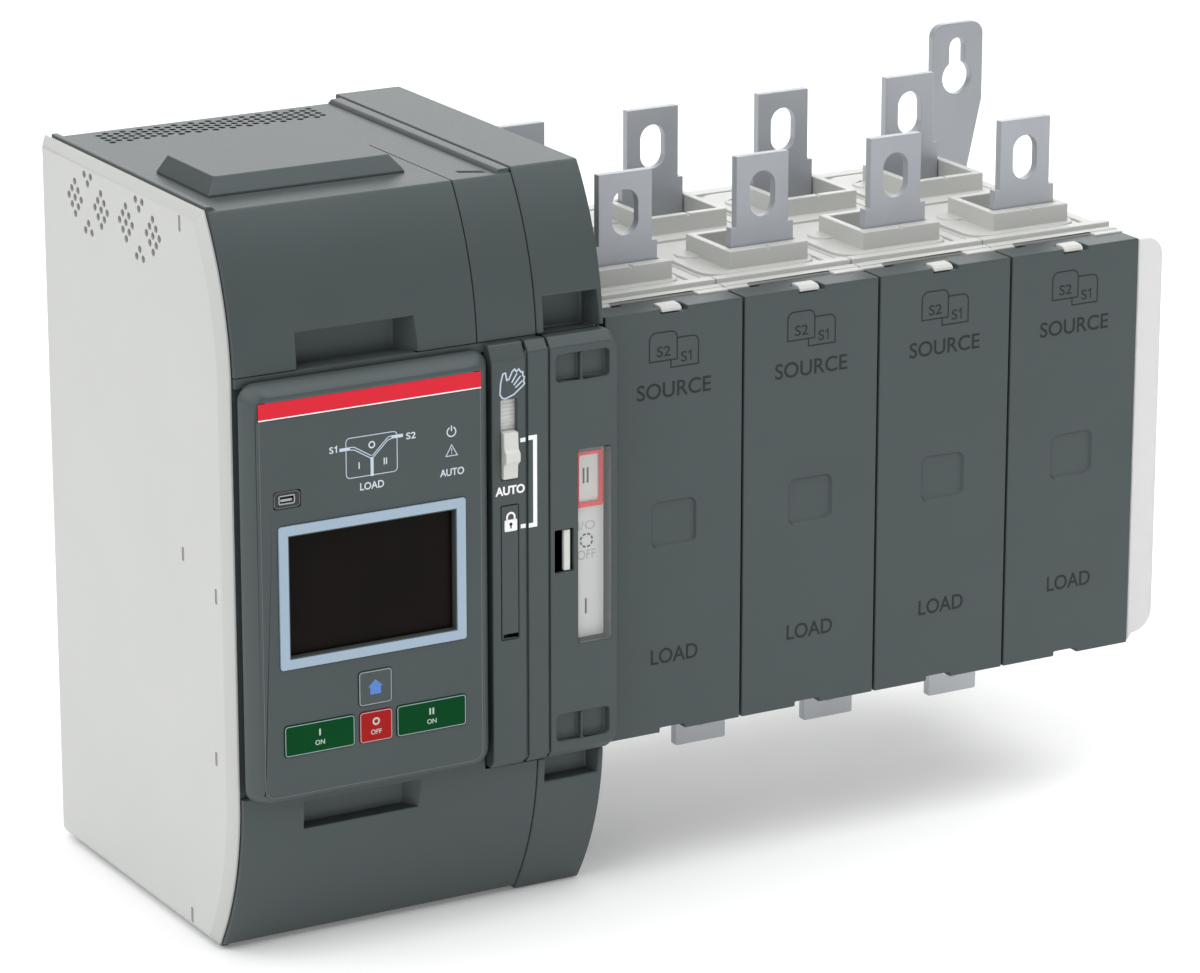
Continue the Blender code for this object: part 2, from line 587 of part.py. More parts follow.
# ---------------------------------------------------------- operator panel
SCREEN = (-152.9, -71.3, 61.7, 119.9)
SCREEN_RIM = 4.2
KEYS = {
    "key_source_1_on": (-151.7, -121.4, 26.0, 38.5),
    "key_off": (-118.9, -104.8, 26.0, 38.5),
    "key_source_2_on": (-102.5, -71.9, 26.0, 38.5),
    "key_home": (-119.1, -104.8, 41.4, 55.3),
}
USB, USB_MOUTH = (-154.3, -143.1, 127.2, 133.8), (-152.0, -145.6, 128.9, 132.1)
STRIPE = (-160.4, -63.9, 163.1, 169.9)


def build_hmi_bezel(dark):
    back = rounded(-165.1, -58.0, 6.2, 176.4, 6.0)
    face = rounded(-160.6, -63.6, 8.4, 172.0, 5.0)
    body = loft("Y", (HMI_BACK, back), (HMI_BACK - 1.8, back), (HMI_FACE, face))
    hollow = loft("Y", (HMI_BACK + 1, rounded(-162.8, -60.4, 8.6, 174.0, 4.0)),
                  (HMI_BACK - 1.8, rounded(-162.8, -60.4, 8.6, 174.0, 4.0)),
                  (HMI_FACE + SHELL, rounded(-159.0, -65.4, 10.6, 170.0, 4.0)))
    front, behind = HMI_FACE - 2, HMI_FACE + 4
    openings = [prism("Y", rounded(*grown(SCREEN, GAP), 2.0), front, behind)]
    openings += [prism("Y", rounded(*grown(box, GAP), 1.5), front, behind) for box in KEYS.values()]
    openings += [prism("Y", rectangle(*grown(USB, GAP)), front, behind)]
    openings += [block(-163.0, -61.0, HMI_FACE - 2, HMI_FACE + 0.6, STRIPE[2] - GAP, STRIPE[3] + GAP)]
    bezel = make("hmi_bezel", dark, body, cuts=[hollow])
    boolean(bezel, "DIFFERENCE", openings, (0.0, 0.0, 0.0))


def build_hmi_rear_case(dark):
    front, rear = HMI_BACK + 0.4, 20.0
    body = block(-158.4, -63.6, front, rear, 11.6, 170.4)
    hollow = block(-156.4, -65.6, front - 1, rear - 2, 13.6, 168.4)
    cable_hole = block(-118.0, -104.0, rear - 4, rear + 1, 28.0, 44.0)
    case = make("hmi_rear_case", dark, body, cuts=[hollow])
    boolean(case, "DIFFERENCE", [cable_hole], (0.0, 0.0, 0.0))


def build_display(blue, glass):
    left, right, low, high = SCREEN
    inner = grown(SCREEN, -SCREEN_RIM)
    make("display_frame", blue,
         prism("Y", rounded(left, right, low, high, 1.8), HMI_FACE - 0.7, HMI_FACE + 4.2),
         cuts=[prism("Y", rectangle(*inner), HMI_FACE - 2, HMI_FACE + 5)])
    make("display_glass", glass, prism("Y", rectangle(*grown(inner, -GAP)), HMI_FACE + 2.8, HMI_FACE + 3.8))


def build_hmi_board(green):
    body = block(-155.0, -67.0, -10.0, -8.4, 16.0, 166.0)
    chips = [block(x, x + 10.0, -8.9, -4.0, z, z + 10.0) for x, z in ((-140, 90), (-110, 100), (-90, 40))]
    make("hmi_board", green, body, joins=chips)


def build_keys(materials):
    for name, box in KEYS.items():
        centre = ((box[0] + box[1]) / 2, HMI_FACE, (box[2] + box[3]) / 2)
        cap = prism("Y", rounded(*box, 1.3), HMI_FACE - 0.4, HMI_FACE + 3.4)
        make(name, materials[name], cap, pivot=centre)


def build_usb_port(black):
    make("usb_port", black, prism("Y", rectangle(*USB), HMI_FACE + 0.3, HMI_FACE + 3.6),
         cuts=[prism("Y", rectangle(*USB_MOUTH), HMI_FACE - 1, HMI_FACE + 2.4)])


def build_stripe(red):
    left, right, low, high = STRIPE
    make("hmi_stripe", red, prism("Y", rectangle(left, right, low, high), HMI_FACE - 0.05, HMI_FACE + 0.25))


# ------------------------------------------- mode selector and padlock tab
def control_body(x0, x1, low=2.4, high=177.6, face_low=5.6, face_high=173.6):
    """Upright bar of the control group, chamfered towards its face above and below."""
    return loft("Y", (CONTROL_BACK, rectangle(x0, x1, low, high)),
                (CONTROL_FACE + 3.0, rectangle(x0, x1, low, high)),
                (CONTROL_FACE, rectangle(x0, x1, face_low, face_high)))


KNOB = (-52.8, -46.3, 123.2, 142.4)
KNOB_SLOT = (-53.1, -46.0, 122.9, 155.6)
LOCK_TAB = (-53.1, -45.6, 56.6, 112.0)


def build_selector(dark, grey, white):
    hollow = block(-55.5, -43.9, CONTROL_FACE + 2.2, CONTROL_BACK + 1, 48.0, 166.0)
    openings = [prism("Y", rectangle(*box), CONTROL_FACE - 1, CONTROL_FACE + 4)
                for box in (KNOB_SLOT, grown(LOCK_TAB, GAP))]
    panel = make("selector_panel", dark, control_body(-57.3, -42.1, face_high=171.6), cuts=[hollow])
    boolean(panel, "DIFFERENCE", openings, (0.0, 0.0, 0.0))
    make("selector_track", grey, block(-55.2, -44.2, -8.9, -7.9, 116.5, 162.0))
    left, right, low, high = KNOB
    middle = (low + high) / 2
    outline = [(-9.2, low), (-12.6, low), (-13.0, middle - 4), (-15.2, middle - 1), (-15.2, middle + 1),
               (-13.4, middle + 4), (-12.6, high), (-9.2, high)]
    make("selector_knob", white, prism("X", outline, left, right), pivot=((left + right) / 2, -9.2, middle))


def build_lock_tab(dark):
    left, right, low, high = LOCK_TAB
    body = block(left, right, CONTROL_FACE + 0.1, 12.0, low, high)
    shackle = rod("X", 3.0, 72.0, 4.0, left - 1, right + 1)
    nail_notch = block(left + 1, right - 1, CONTROL_FACE - 1, CONTROL_FACE + 2.5, low + 0.6, low + 3.0)
    make("lock_tab", dark, body, cuts=[shackle, nail_notch], pivot=((left + right) / 2, CONTROL_FACE, 84.0))


def build_centre_strip(dark):
    make("centre_strip", dark, control_body(-41.0, -31.9))


# ------------------------------------------------------ position indicator
SCALE_FACE = -6.0
WINDOW = (-18.1, -3.4, 49.6, 130.0)
MARKER = (-17.2, -4.4, 104.6, 127.9)
LATCH_POCKET = (-29.0, -20.4, 80.5, 98.3)
RELEASE = (-24.6, -21.7, 80.9, 97.9)
RECESS_COLUMNS = ((-28.0, -16.8), (-16.0, -4.2))
RECESS_ROWS = ((9.6, 20.2), (159.6, 170.1))
RECESS_DEPTH = 3.2


def build_indicator(dark, clear, white, red, pale):
    hollow = block(-29.8, -1.8, CONTROL_FACE + 2.2, CONTROL_BACK + 1, 24.0, 154.0)
    recesses = [block(x0, x1, CONTROL_FACE - 1, CONTROL_FACE + RECESS_DEPTH, z0, z1)
                for x0, x1 in RECESS_COLUMNS for z0, z1 in RECESS_ROWS]
    openings = [prism("Y", rectangle(*box), CONTROL_FACE - 1, CONTROL_FACE + 4)
                for box in (grown(WINDOW, GAP), LATCH_POCKET)]
    frame = make("indicator_frame", dark, control_body(-31.0, -0.6), cuts=[hollow])
    boolean(frame, "DIFFERENCE", recesses + openings, (0.0, 0.0, 0.0))
    make("indicator_window", clear, prism("Y", rectangle(*WINDOW), CONTROL_FACE - 0.4, CONTROL_FACE + 0.5))
    make("indicator_scale", white, prism("Y", rectangle(*grown(WINDOW, -GAP)), SCALE_FACE, SCALE_FACE + 1.0))
    left, right, low, high = MARKER
    front, rear = SCALE_FACE - 1.3, SCALE_FACE - GAP
    make("indicator_marker", red, prism("Y", rectangle(*MARKER), front, rear),
         cuts=[prism("Y", rectangle(left + 2, right - 2.2, low + 2.2, high - 1.8), front - 1, rear + 1)],
         pivot=((left + right) / 2, front, (low + high) / 2))
    make("release_slider", pale, prism("Y", rectangle(*RELEASE), -10.9, -6.0), pivot=(-23.1, -8.0, 89.4))


def build_model():
    for thing in list(bpy.data.objects):
        bpy.data.objects.remove(thing, do_unlink=True)

    dark = plastic("dark_grey_plastic", (0.085, 0.098, 0.098), 0.45)
    light = plastic("light_grey_panel", (0.68, 0.69, 0.67), 0.5)
    white = plastic("off_white_plastic", (0.72, 0.74, 0.70), 0.5)
    steel = plastic("zinc_plated_steel", (0.45, 0.47, 0.50), 0.35, 1.0)
    tinned = plastic("tinned_copper", (0.42, 0.44, 0.48), 0.32, 1.0)
    black = plastic("black_component", (0.02, 0.02, 0.022), 0.5)
    board = plastic("circuit_board_green", (0.02, 0.12, 0.05), 0.4)
    blue = plastic("screen_frame_blue", (0.43, 0.54, 0.69), 0.4)
    glass = plastic("display_black", (0.008, 0.006, 0.005), 0.12)
    clear = plastic("clear_window", (0.9, 0.92, 0.92), 0.05, 0.0, 1.0)
    red = plastic("signal_red", (0.74, 0.025, 0.035), 0.4)
    green = plastic("key_green", (0.0, 0.07, 0.013), 0.4)
    key_red = plastic("key_red", (0.39, 0.007, 0.003), 0.4)

    build_base_plate(steel)
    for index in range(POLES):
        build_pole_cover(index, dark)
        build_pole_housing(index, white)
        build_source_terminal(1, index, SOURCE1_Y, SOURCE1_TOP, tinned)
        build_source_terminal(2, index, SOURCE2_Y, SOURCE2_TOP, tinned)
        build_load_terminal(index, tinned)
    build_end_plate(light)

    build_rotor(1, SOURCE1_Y, SWING, steel)
    build_rotor(2, SOURCE2_Y, 0.0, steel)
    build_transfer_link(steel)
    build_solenoid_plunger(steel)
    for source, extent in enumerate(SOLENOIDS, start=1):
        build_solenoid(source, extent, black)
    build_mechanism_bracket(steel)
    build_control_board(board)
    build_power_supply(black)

    build_side_panel(light)
    build_top_cover(dark)
    build_bottom_cover(dark)
    build_raised_cover(dark)
    build_front_panel(dark)
    build_top_hatch(dark)
    build_vent_grille(dark)

    build_hmi_bezel(dark)
    build_hmi_rear_case(dark)
    build_display(blue, glass)
    build_hmi_board(board)
    build_keys({"key_source_1_on": green, "key_off": key_red, "key_source_2_on": green, "key_home": dark})
    build_usb_port(black)
    build_stripe(red)

    build_selector(dark, light, white)
    build_lock_tab(dark)
    build_centre_strip(dark)
    build_indicator(dark, clear, white, red, light)


build_model()
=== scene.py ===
"""Looks of a four-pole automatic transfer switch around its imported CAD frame."""

import math

import bmesh
import bpy
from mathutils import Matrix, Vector


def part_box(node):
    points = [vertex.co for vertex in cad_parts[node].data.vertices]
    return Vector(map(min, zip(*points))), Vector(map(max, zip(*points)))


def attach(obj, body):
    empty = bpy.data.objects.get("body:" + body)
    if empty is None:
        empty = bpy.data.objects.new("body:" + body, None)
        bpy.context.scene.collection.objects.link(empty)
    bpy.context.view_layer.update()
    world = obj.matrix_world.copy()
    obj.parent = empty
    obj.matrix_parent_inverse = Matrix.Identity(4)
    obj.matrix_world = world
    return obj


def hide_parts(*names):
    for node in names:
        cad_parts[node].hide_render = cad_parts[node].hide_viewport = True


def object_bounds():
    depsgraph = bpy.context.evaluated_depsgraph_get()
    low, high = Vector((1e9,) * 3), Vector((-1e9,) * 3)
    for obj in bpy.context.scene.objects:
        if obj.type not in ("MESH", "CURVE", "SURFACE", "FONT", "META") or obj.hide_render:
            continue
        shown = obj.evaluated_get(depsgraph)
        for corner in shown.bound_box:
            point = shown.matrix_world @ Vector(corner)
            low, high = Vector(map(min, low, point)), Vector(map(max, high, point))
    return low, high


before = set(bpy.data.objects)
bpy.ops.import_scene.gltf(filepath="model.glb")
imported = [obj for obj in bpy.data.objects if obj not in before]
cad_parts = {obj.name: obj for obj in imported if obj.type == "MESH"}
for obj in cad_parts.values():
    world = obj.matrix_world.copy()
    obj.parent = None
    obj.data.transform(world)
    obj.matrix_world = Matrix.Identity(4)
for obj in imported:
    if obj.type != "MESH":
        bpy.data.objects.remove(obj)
CAD_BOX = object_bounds()
MM = 0.001
POLES = 4
CHASSIS = "chassis"
DARK_SLOT, LIGHT_SLOT, WHITE_SLOT = "dark_grey_plastic", "light_grey_panel", "off_white_plastic"

# The drawing's origin is the lower left front corner of the first pole, in millimetres.
POLE_MARGIN = 0.25
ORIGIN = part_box("pole_cover_1")[0] - Vector((POLE_MARGIN, 0.0, 0.0)) * MM
# Rotor shafts, as y and z of their axes.
SHAFTS = ((41.3, 92.0), (130.4, 92.0))
# A print stands this far in front of its face, and reaches this far behind it.
PRINT_PROUD, PRINT_DEEP = 0.03, 0.1
OPENING_MARGIN = 0.25


def extent(node):
    """A CAD node's box in the drawing's millimetres: x0, x1, y0, y1, z0, z1."""
    low, high = [(corner - ORIGIN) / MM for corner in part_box(node)]
    return low.x, high.x, low.y, high.y, low.z, high.z


def front_of(box):
    """The x and z limits of an extent."""
    return box[0], box[1], box[4], box[5]


def printed(front):
    return front - PRINT_PROUD, front + PRINT_DEEP


# ---------------------------------------------------------------- outlines
def rectangle(a0, a1, b0, b1):
    return [(a0, b0), (a1, b0), (a1, b1), (a0, b1)]


def arc(a, b, radius, start, end, steps):
    angles = [math.radians(start + (end - start) * step / steps) for step in range(steps + 1)]
    return [(a + radius * math.cos(angle), b + radius * math.sin(angle)) for angle in angles]


def rounded(a0, a1, b0, b1, radius, steps=8):
    corners = ((a0 + radius, b0 + radius, 180), (a1 - radius, b0 + radius, 270),
               (a1 - radius, b1 - radius, 0), (a0 + radius, b1 - radius, 90))
    return [point for a, b, start in corners for point in arc(a, b, radius, start, start + 90, steps)]


def circle(a, b, radius, sides=32):
    return arc(a, b, radius, 0, 360 - 360 / sides, sides - 1)


def slot(a, b, width, height, steps=16):
    half = (height - width) / 2
    return arc(a, b + half, width / 2, 0, 180, steps) + arc(a, b - half, width / 2, 180, 360, steps)


def numeral_one(x, z, height):
    return [(x - 0.3 * height, z + 0.26 * height), (x, z + 0.5 * height), (x, z - 0.5 * height)]


def grown(box, margin):
    return box[0] - margin, box[1] + margin, box[2] - margin, box[3] + margin


# ------------------------------------------------------------------ bodies
def place(axis, a, b, level):
    return {"X": (level, a, b), "Y": (a, level, b), "Z": (a, b, level)}[axis]


def loft(axis, *sections):
    points = [place(axis, a, b, level) for level, outline in sections for a, b in outline]
    count = len(sections[0][1])
    faces = [list(range(count)), list(range(len(points) - count, len(points)))]
    for low in range(0, count * (len(sections) - 1), count):
        for index in range(count):
            following = (index + 1) % count
            faces.append([low + index, low + following, low + count + following, low + count + index])
    return points, faces


def prism(axis, outline, low, high):
    return loft(axis, (low, outline), (high, outline))


def block(x0, x1, y0, y1, z0, z1):
    return prism("Z", rectangle(x0, x1, y0, y1), z0, z1)


def rod(axis, a, b, radius, low, high, sides=32):
    return prism(axis, circle(a, b, radius, sides), low, high)


def ribbon(points, width, y0, y1, closed=False):
    """Line of even width through x, z points, as one thin block per segment."""
    count = len(points)
    sides = []
    for index, (x, z) in enumerate(points):
        before = points[index - 1] if index or closed else None
        after = points[(index + 1) % count] if index < count - 1 or closed else None
        ahead = Vector((after[0] - x, after[1] - z)).normalized() if after else None
        behind = Vector((x - before[0], z - before[1])).normalized() if before else None
        along = ((ahead or behind) + (behind or ahead)).normalized()
        across = Vector((-along.y, along.x)) * (width / 2)
        if ahead and behind:
            across /= max(0.35, along.dot(ahead))
        sides.append(((x + across.x, z + across.y), (x - across.x, z - across.y)))
    pairs = list(zip(sides, sides[1:])) + ([(sides[-1], sides[0])] if closed else [])
    return [prism("Y", [first[0], second[0], second[1], first[1]], y0, y1) for first, second in pairs]


# ----------------------------------------------------------------- objects
def raw(name, bodies):
    shape = bmesh.new()
    for points, faces in bodies:
        corners = [shape.verts.new(ORIGIN + Vector(point) * MM) for point in points]
        for face in faces:
            shape.faces.new([corners[index] for index in face])
    bmesh.ops.recalc_face_normals(shape, faces=shape.faces)
    mesh = bpy.data.meshes.new(name)
    shape.to_mesh(mesh)
    shape.free()
    thing = bpy.data.objects.new(name, mesh)
    bpy.context.scene.collection.objects.link(thing)
    return thing


def bake(thing):
    """Keep what the modifiers make as the object's own mesh."""
    bpy.context.view_layer.update()
    graph = bpy.context.evaluated_depsgraph_get()
    mesh = bpy.data.meshes.new_from_object(thing.evaluated_get(graph))
    thing.modifiers.clear()
    thing.data = mesh


def combine(thing, operation, bodies):
    if not bodies:
        return
    helper = raw("helper", bodies)
    modifier = thing.modifiers.new(operation, "BOOLEAN")
    modifier.operation = operation
    modifier.solver = "EXACT"
    modifier.object = helper
    bake(thing)
    bpy.data.objects.remove(helper, do_unlink=True)


def soften(thing, width, segments=2, sharp=32.0):
    """Round every edge sharper than the given angle."""
    shape = bmesh.new()
    shape.from_mesh(thing.data)
    bmesh.ops.remove_doubles(shape, verts=shape.verts, dist=2e-6)
    bmesh.ops.dissolve_limit(shape, angle_limit=math.radians(0.3), verts=shape.verts, edges=shape.edges)
    edges = [edge for edge in shape.edges
             if len(edge.link_faces) == 2 and edge.calc_face_angle() > math.radians(sharp)]
    bmesh.ops.bevel(shape, geom=edges, offset=width * MM, offset_type="OFFSET", segments=segments,
                    profile=0.5, affect="EDGES", clamp_overlap=False)
    shape.to_mesh(thing.data)
    shape.free()


def shade(thing, sharp=38.0):
    for face in thing.data.polygons:
        face.use_smooth = True
    thing.data.set_sharp_from_angle(angle=math.radians(sharp))
    modifier = thing.modifiers.new("weighted", "WEIGHTED_NORMAL")
    modifier.keep_sharp = True


def piece(name, material, base, joins=(), cuts=(), edge=0.5, segments=2, body=CHASSIS, nodes=(),
          late_cuts=(), sharp=32.0):
    """One visible piece: a base with bodies joined and cut, its edges rounded."""
    thing = raw(name, [base])
    for bodies in joins:
        combine(thing, "UNION", bodies)
    for bodies in cuts:
        combine(thing, "DIFFERENCE", bodies)
    if edge:
        soften(thing, edge, segments, sharp)
    for bodies in late_cuts:
        combine(thing, "DIFFERENCE", bodies)
    shade(thing)
    return dress(thing, material, body, nodes)


def dress(thing, material, body=CHASSIS, nodes=()):
    thing.data.materials.clear()
    thing.data.materials.append(material)
    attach(thing, body)
    if nodes:
        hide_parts(*nodes)
    return thing


def mark(name, material, bodies, body=CHASSIS):
    """Thin printed or moulded mark, filler or sheet of painted shade, made of separate flat bodies."""
    return dress(raw(name, bodies), material, body)


def letters(name, text, material, x, y, z, height, width=None, body=CHASSIS, depth=0.04, bold=0.0):
    """Text that faces the front, centred on x and z."""
    curve = bpy.data.curves.new(name, "FONT")
    curve.body, curve.align_x = text, "CENTER"
    curve.offset, curve.resolution_u = bold, 6
    holder = bpy.data.objects.new(name, curve)
    bpy.context.scene.collection.objects.link(holder)
    bpy.context.view_layer.update()
    mesh = bpy.data.meshes.new_from_object(holder.evaluated_get(bpy.context.evaluated_depsgraph_get()))
    bpy.data.objects.remove(holder, do_unlink=True)
    flat = [(vertex.co.x, vertex.co.y) for vertex in mesh.vertices]
    polygons = [list(polygon.vertices) for polygon in mesh.polygons]
    bpy.data.meshes.remove(mesh)
    (left, bottom), (right, top) = [[pick(values) for values in zip(*flat)] for pick in (min, max)]
    tall = height / (top - bottom)
    wide = width / (right - left) if width else tall
    points = [(x + (a - (left + right) / 2) * wide, level, z + (b - (bottom + top) / 2) * tall)
              for level in (y, y - depth) for a, b in flat]
    count = len(flat)
    edges = [pair for polygon in polygons for pair in zip(polygon, polygon[1:] + polygon[:1])]
    shared = set(edges)
    faces = polygons + [[index + count for index in polygon] for polygon in polygons]
    faces += [[a, b, b + count, a + count] for a, b in edges if (b, a) not in shared]
    return mark(name, material, [(points, faces)], body)


# --------------------------------------------------------------- materials
def surface(name, colour, roughness, metallic=0.0, grain=1400.0, bump=0.1, mottle=0.05, stretch=None,
            rough_swing=0.06, **sockets):
    """Moulded, painted or metal surface with fine grain, slow colour drift and uneven gloss."""
    material = bpy.data.materials.new(name)
    material.use_nodes = True
    nodes, links = material.node_tree.nodes, material.node_tree.links
    shader = nodes["Principled BSDF"]
    shader.inputs["Metallic"].default_value = metallic
    for socket, value in sockets.items():
        shader.inputs[socket.replace("_", " ")].default_value = value
    place_in = nodes.new("ShaderNodeTexCoord")
    mapping = nodes.new("ShaderNodeMapping")
    mapping.inputs["Scale"].default_value = stretch or (1.0, 1.0, 1.0)
    links.new(place_in.outputs["Object"], mapping.inputs["Vector"])

    drift = nodes.new("ShaderNodeTexNoise")
    drift.inputs["Scale"].default_value = 22.0
    drift.inputs["Detail"].default_value = 3.0
    links.new(place_in.outputs["Object"], drift.inputs["Vector"])
    ramp = nodes.new("ShaderNodeValToRGB")
    ramp.color_ramp.elements[0].position = 0.3
    ramp.color_ramp.elements[1].position = 0.7
    ramp.color_ramp.elements[0].color = [value * (1 - mottle) for value in colour] + [1.0]
    ramp.color_ramp.elements[1].color = [min(1.0, value * (1 + mottle)) for value in colour] + [1.0]
    links.new(drift.outputs["Fac"], ramp.inputs["Fac"])
    links.new(ramp.outputs["Color"], shader.inputs["Base Color"])

    fine = nodes.new("ShaderNodeTexNoise")
    fine.inputs["Scale"].default_value = grain
    fine.inputs["Detail"].default_value = 2.0
    links.new(mapping.outputs["Vector"], fine.inputs["Vector"])
    gloss = nodes.new("ShaderNodeMapRange")
    gloss.inputs["To Min"].default_value = max(0.02, roughness - rough_swing)
    gloss.inputs["To Max"].default_value = min(1.0, roughness + rough_swing)
    links.new(fine.outputs["Fac"], gloss.inputs["Value"])
    links.new(gloss.outputs["Result"], shader.inputs["Roughness"])
    relief = nodes.new("ShaderNodeBump")
    relief.inputs["Strength"].default_value = bump
    relief.inputs["Distance"].default_value = 0.0001
    links.new(fine.outputs["Fac"], relief.inputs["Height"])
    links.new(relief.outputs["Normal"], shader.inputs["Normal"])
    return material


DARK = surface("dark_plastic", (0.051, 0.062, 0.063), 0.46, bump=0.16, mottle=0.03,
               Specular_Tint=(0.86, 0.98, 1.0, 1.0))
LIGHT = surface("light_panel_paint", (0.512, 0.52, 0.505), 0.42, grain=2200.0, bump=0.08, mottle=0.012)
WHITE = surface("off_white_plastic", (0.505, 0.511, 0.491), 0.42, bump=0.1, mottle=0.015)
SHIELD = surface("pale_end_plastic", (0.61, 0.597, 0.6), 0.35, bump=0.06, mottle=0.01, Alpha=0.55)
STEEL = surface("zinc_steel", (0.355, 0.372, 0.4), 0.42, 0.6, grain=500.0, bump=0.1, mottle=0.05,
                stretch=(1.0, 1.0, 0.1))
TINNED = surface("tinned_bar", (0.4, 0.42, 0.455), 0.44, 0.45, grain=700.0, bump=0.12, mottle=0.05,
                 stretch=(1.0, 1.0, 0.06))
# Black of the moulded parts; also the colour of sheets of painted shade under the grille and behind the cover
# notches.
BLACK = surface("black_moulding_and_shade", (0.018, 0.018, 0.02), 0.5)
BOARD = surface("solder_mask", (0.015, 0.1, 0.045), 0.32, grain=300.0, bump=0.2, mottle=0.1)
BLUE = surface("screen_border", (0.35, 0.46, 0.57), 0.42, bump=0.05, mottle=0.015)
GLASS = surface("dark_screen", (0.0062, 0.0042, 0.0034), 0.3, grain=260.0, bump=0.05, mottle=0.25,
                rough_swing=0.05, Specular_IOR_Level=0.06)
RED = surface("red_print", (0.74, 0.014, 0.034), 0.45, bump=0.05, mottle=0.02, Specular_IOR_Level=0.2)
MARKER_RED = surface("marker_red", (0.8, 0.03, 0.03), 0.4, bump=0.05, mottle=0.03)
WELL = surface("screen_well", (0.05, 0.062, 0.06), 0.5, bump=0.08, mottle=0.03)
GREEN = surface("green_key", (0.0004, 0.058, 0.014), 0.5, bump=0.1, mottle=0.05, Specular_IOR_Level=0.06)
KEY_RED = surface("red_key", (0.36, 0.005, 0.004), 0.5, bump=0.1, mottle=0.05, Specular_IOR_Level=0.15)
PRINT = surface("white_print", (0.95, 0.96, 0.97), 0.5, bump=0.05, mottle=0.02)
PALE_PRINT = surface("pale_blue_print", (0.55, 0.66, 0.78), 0.5, bump=0.05, mottle=0.02)
# Grey lighter than the dark plastic: painted highlight along the edges of the panel face and the USB socket.
EDGE_HIGHLIGHT = surface("painted_edge_highlight", (0.12, 0.135, 0.137), 0.5, bump=0.05, mottle=0.02)
KEY_LINE = surface("key_outline_print", (0.3, 0.38, 0.4), 0.5, bump=0.05, mottle=0.02)
BLUE_PRINT = surface("blue_print", (0.08, 0.22, 0.6), 0.5, bump=0.05, mottle=0.02)
# Darker than the dark plastic: painted shade in the sunk words and tab symbol of the pole covers, and the
# print of the padlock's keyhole.
SUNK_SHADE_AND_PRINT = surface("sunk_shade_and_keyhole_print", (0.026, 0.03, 0.031), 0.65, bump=0.1, mottle=0.03, Specular_IOR_Level=0.2)
SCALE = surface("scale_label", (0.72, 0.725, 0.71), 0.5, bump=0.05, mottle=0.015)
FAINT_PRINT = surface("faint_print", (0.42, 0.43, 0.42), 0.5, bump=0.05, mottle=0.02)
GREY_PRINT = surface("dark_grey_print", (0.05, 0.053, 0.056), 0.5, bump=0.05, mottle=0.02)
# Grey darker than the panel, for sheets inside the side panel's slits: painted shade.
SLIT_SHADE = surface("slit_painted_shade", (0.3, 0.3, 0.28), 0.6, bump=0.1, mottle=0.03)
KNOB = surface("ivory_knob", (0.66, 0.665, 0.63), 0.38, bump=0.06, mottle=0.01)
# Brown of the release pocket's floor, made lighter than the part's own brown: painted light against the shade
# in the pocket.
BROWN_AND_PAINTED_LIGHT = surface("brown_part_and_painted_light", (0.16, 0.09, 0.08), 0.5, bump=0.1, mottle=0.1)
CLEAR = surface("clear_cover", (0.8, 0.83, 0.83), 0.08, bump=0.01, mottle=0.005, rough_swing=0.01, Alpha=0.07)
KEY_PRINT = surface("key_print", (0.5, 0.58, 0.52), 0.5, bump=0.05, mottle=0.02)
PANEL_PRINT = surface("panel_print", (0.66, 0.72, 0.78), 0.5, bump=0.05, mottle=0.02)
# Lighter copy of the tinned bar colour: painted light for the load terminals, which sit in the shade under
# the switch body.
LOAD_BAR_LIT = surface("tinned_bar_painted_light", (0.53, 0.55, 0.58), 0.44, 0.45, grain=700.0, bump=0.12, mottle=0.05,
                  stretch=(1.0, 1.0, 0.08))


# ---------------------------------------------------------- mounting plate
def keyhole(x, z):
    return ([(x - 4.0, z + 6.35)] + arc(x, z, 7.5, 122.2, 417.8, 36)[1:-1] + [(x + 4.0, z + 6.35)]
            + arc(x, z + 14.0, 4.0, 0, 180, 14))


def base_plate():
    x0, x1, front, rear, z0, z1 = extent("base_plate")
    strap_left, strap_right, module_right = x1 - 26.5, x1 - 7.1, -6.7
    module_top, module_low, low, high, corner = 237.0, -57.0, 12.0, 168.0, 6.0
    outline = ([(x0, module_low), (module_right, module_low), (module_right, low), (strap_left, low)]
               + arc(strap_left + corner, z0 + corner, corner, 180, 270, 8)
               + arc(x1 - corner, z0 + corner, corner, 270, 360, 8)
               + [(x1, -25.0), (strap_right, 6.0), (strap_right, 174.0), (x1, 205.0)]
               + arc(x1 - corner, z1 - corner, corner, 0, 90, 8)
               + arc(strap_left + corner, z1 - corner, corner, 90, 180, 8)
               + [(strap_left, high), (module_right, high), (module_right, module_top), (x0, module_top)])
    holes = [prism("Y", keyhole(x, 215.6), front - 1, rear + 1) for x in (x1 - 13.6, -84.0)]
    holes += [prism("Y", slot(x, -44.0, 8.0, 16.0), front - 1, rear + 1) for x in (x1 - 13.6, -84.0)]
    piece("mounting_plate", STEEL, prism("Y", outline, front, rear), cuts=[holes], edge=0.5,
          nodes=["base_plate"])


# ------------------------------------------------------------------- poles
def file_tab(left, right, low, high, radius):
    """Outline of a small tab symbol: rounded above and square below."""
    return ([(left, low), (right, low)] + arc(right - radius, high - radius, radius, 0, 90, 6)
            + arc(left + radius, high - radius, radius, 90, 180, 6))


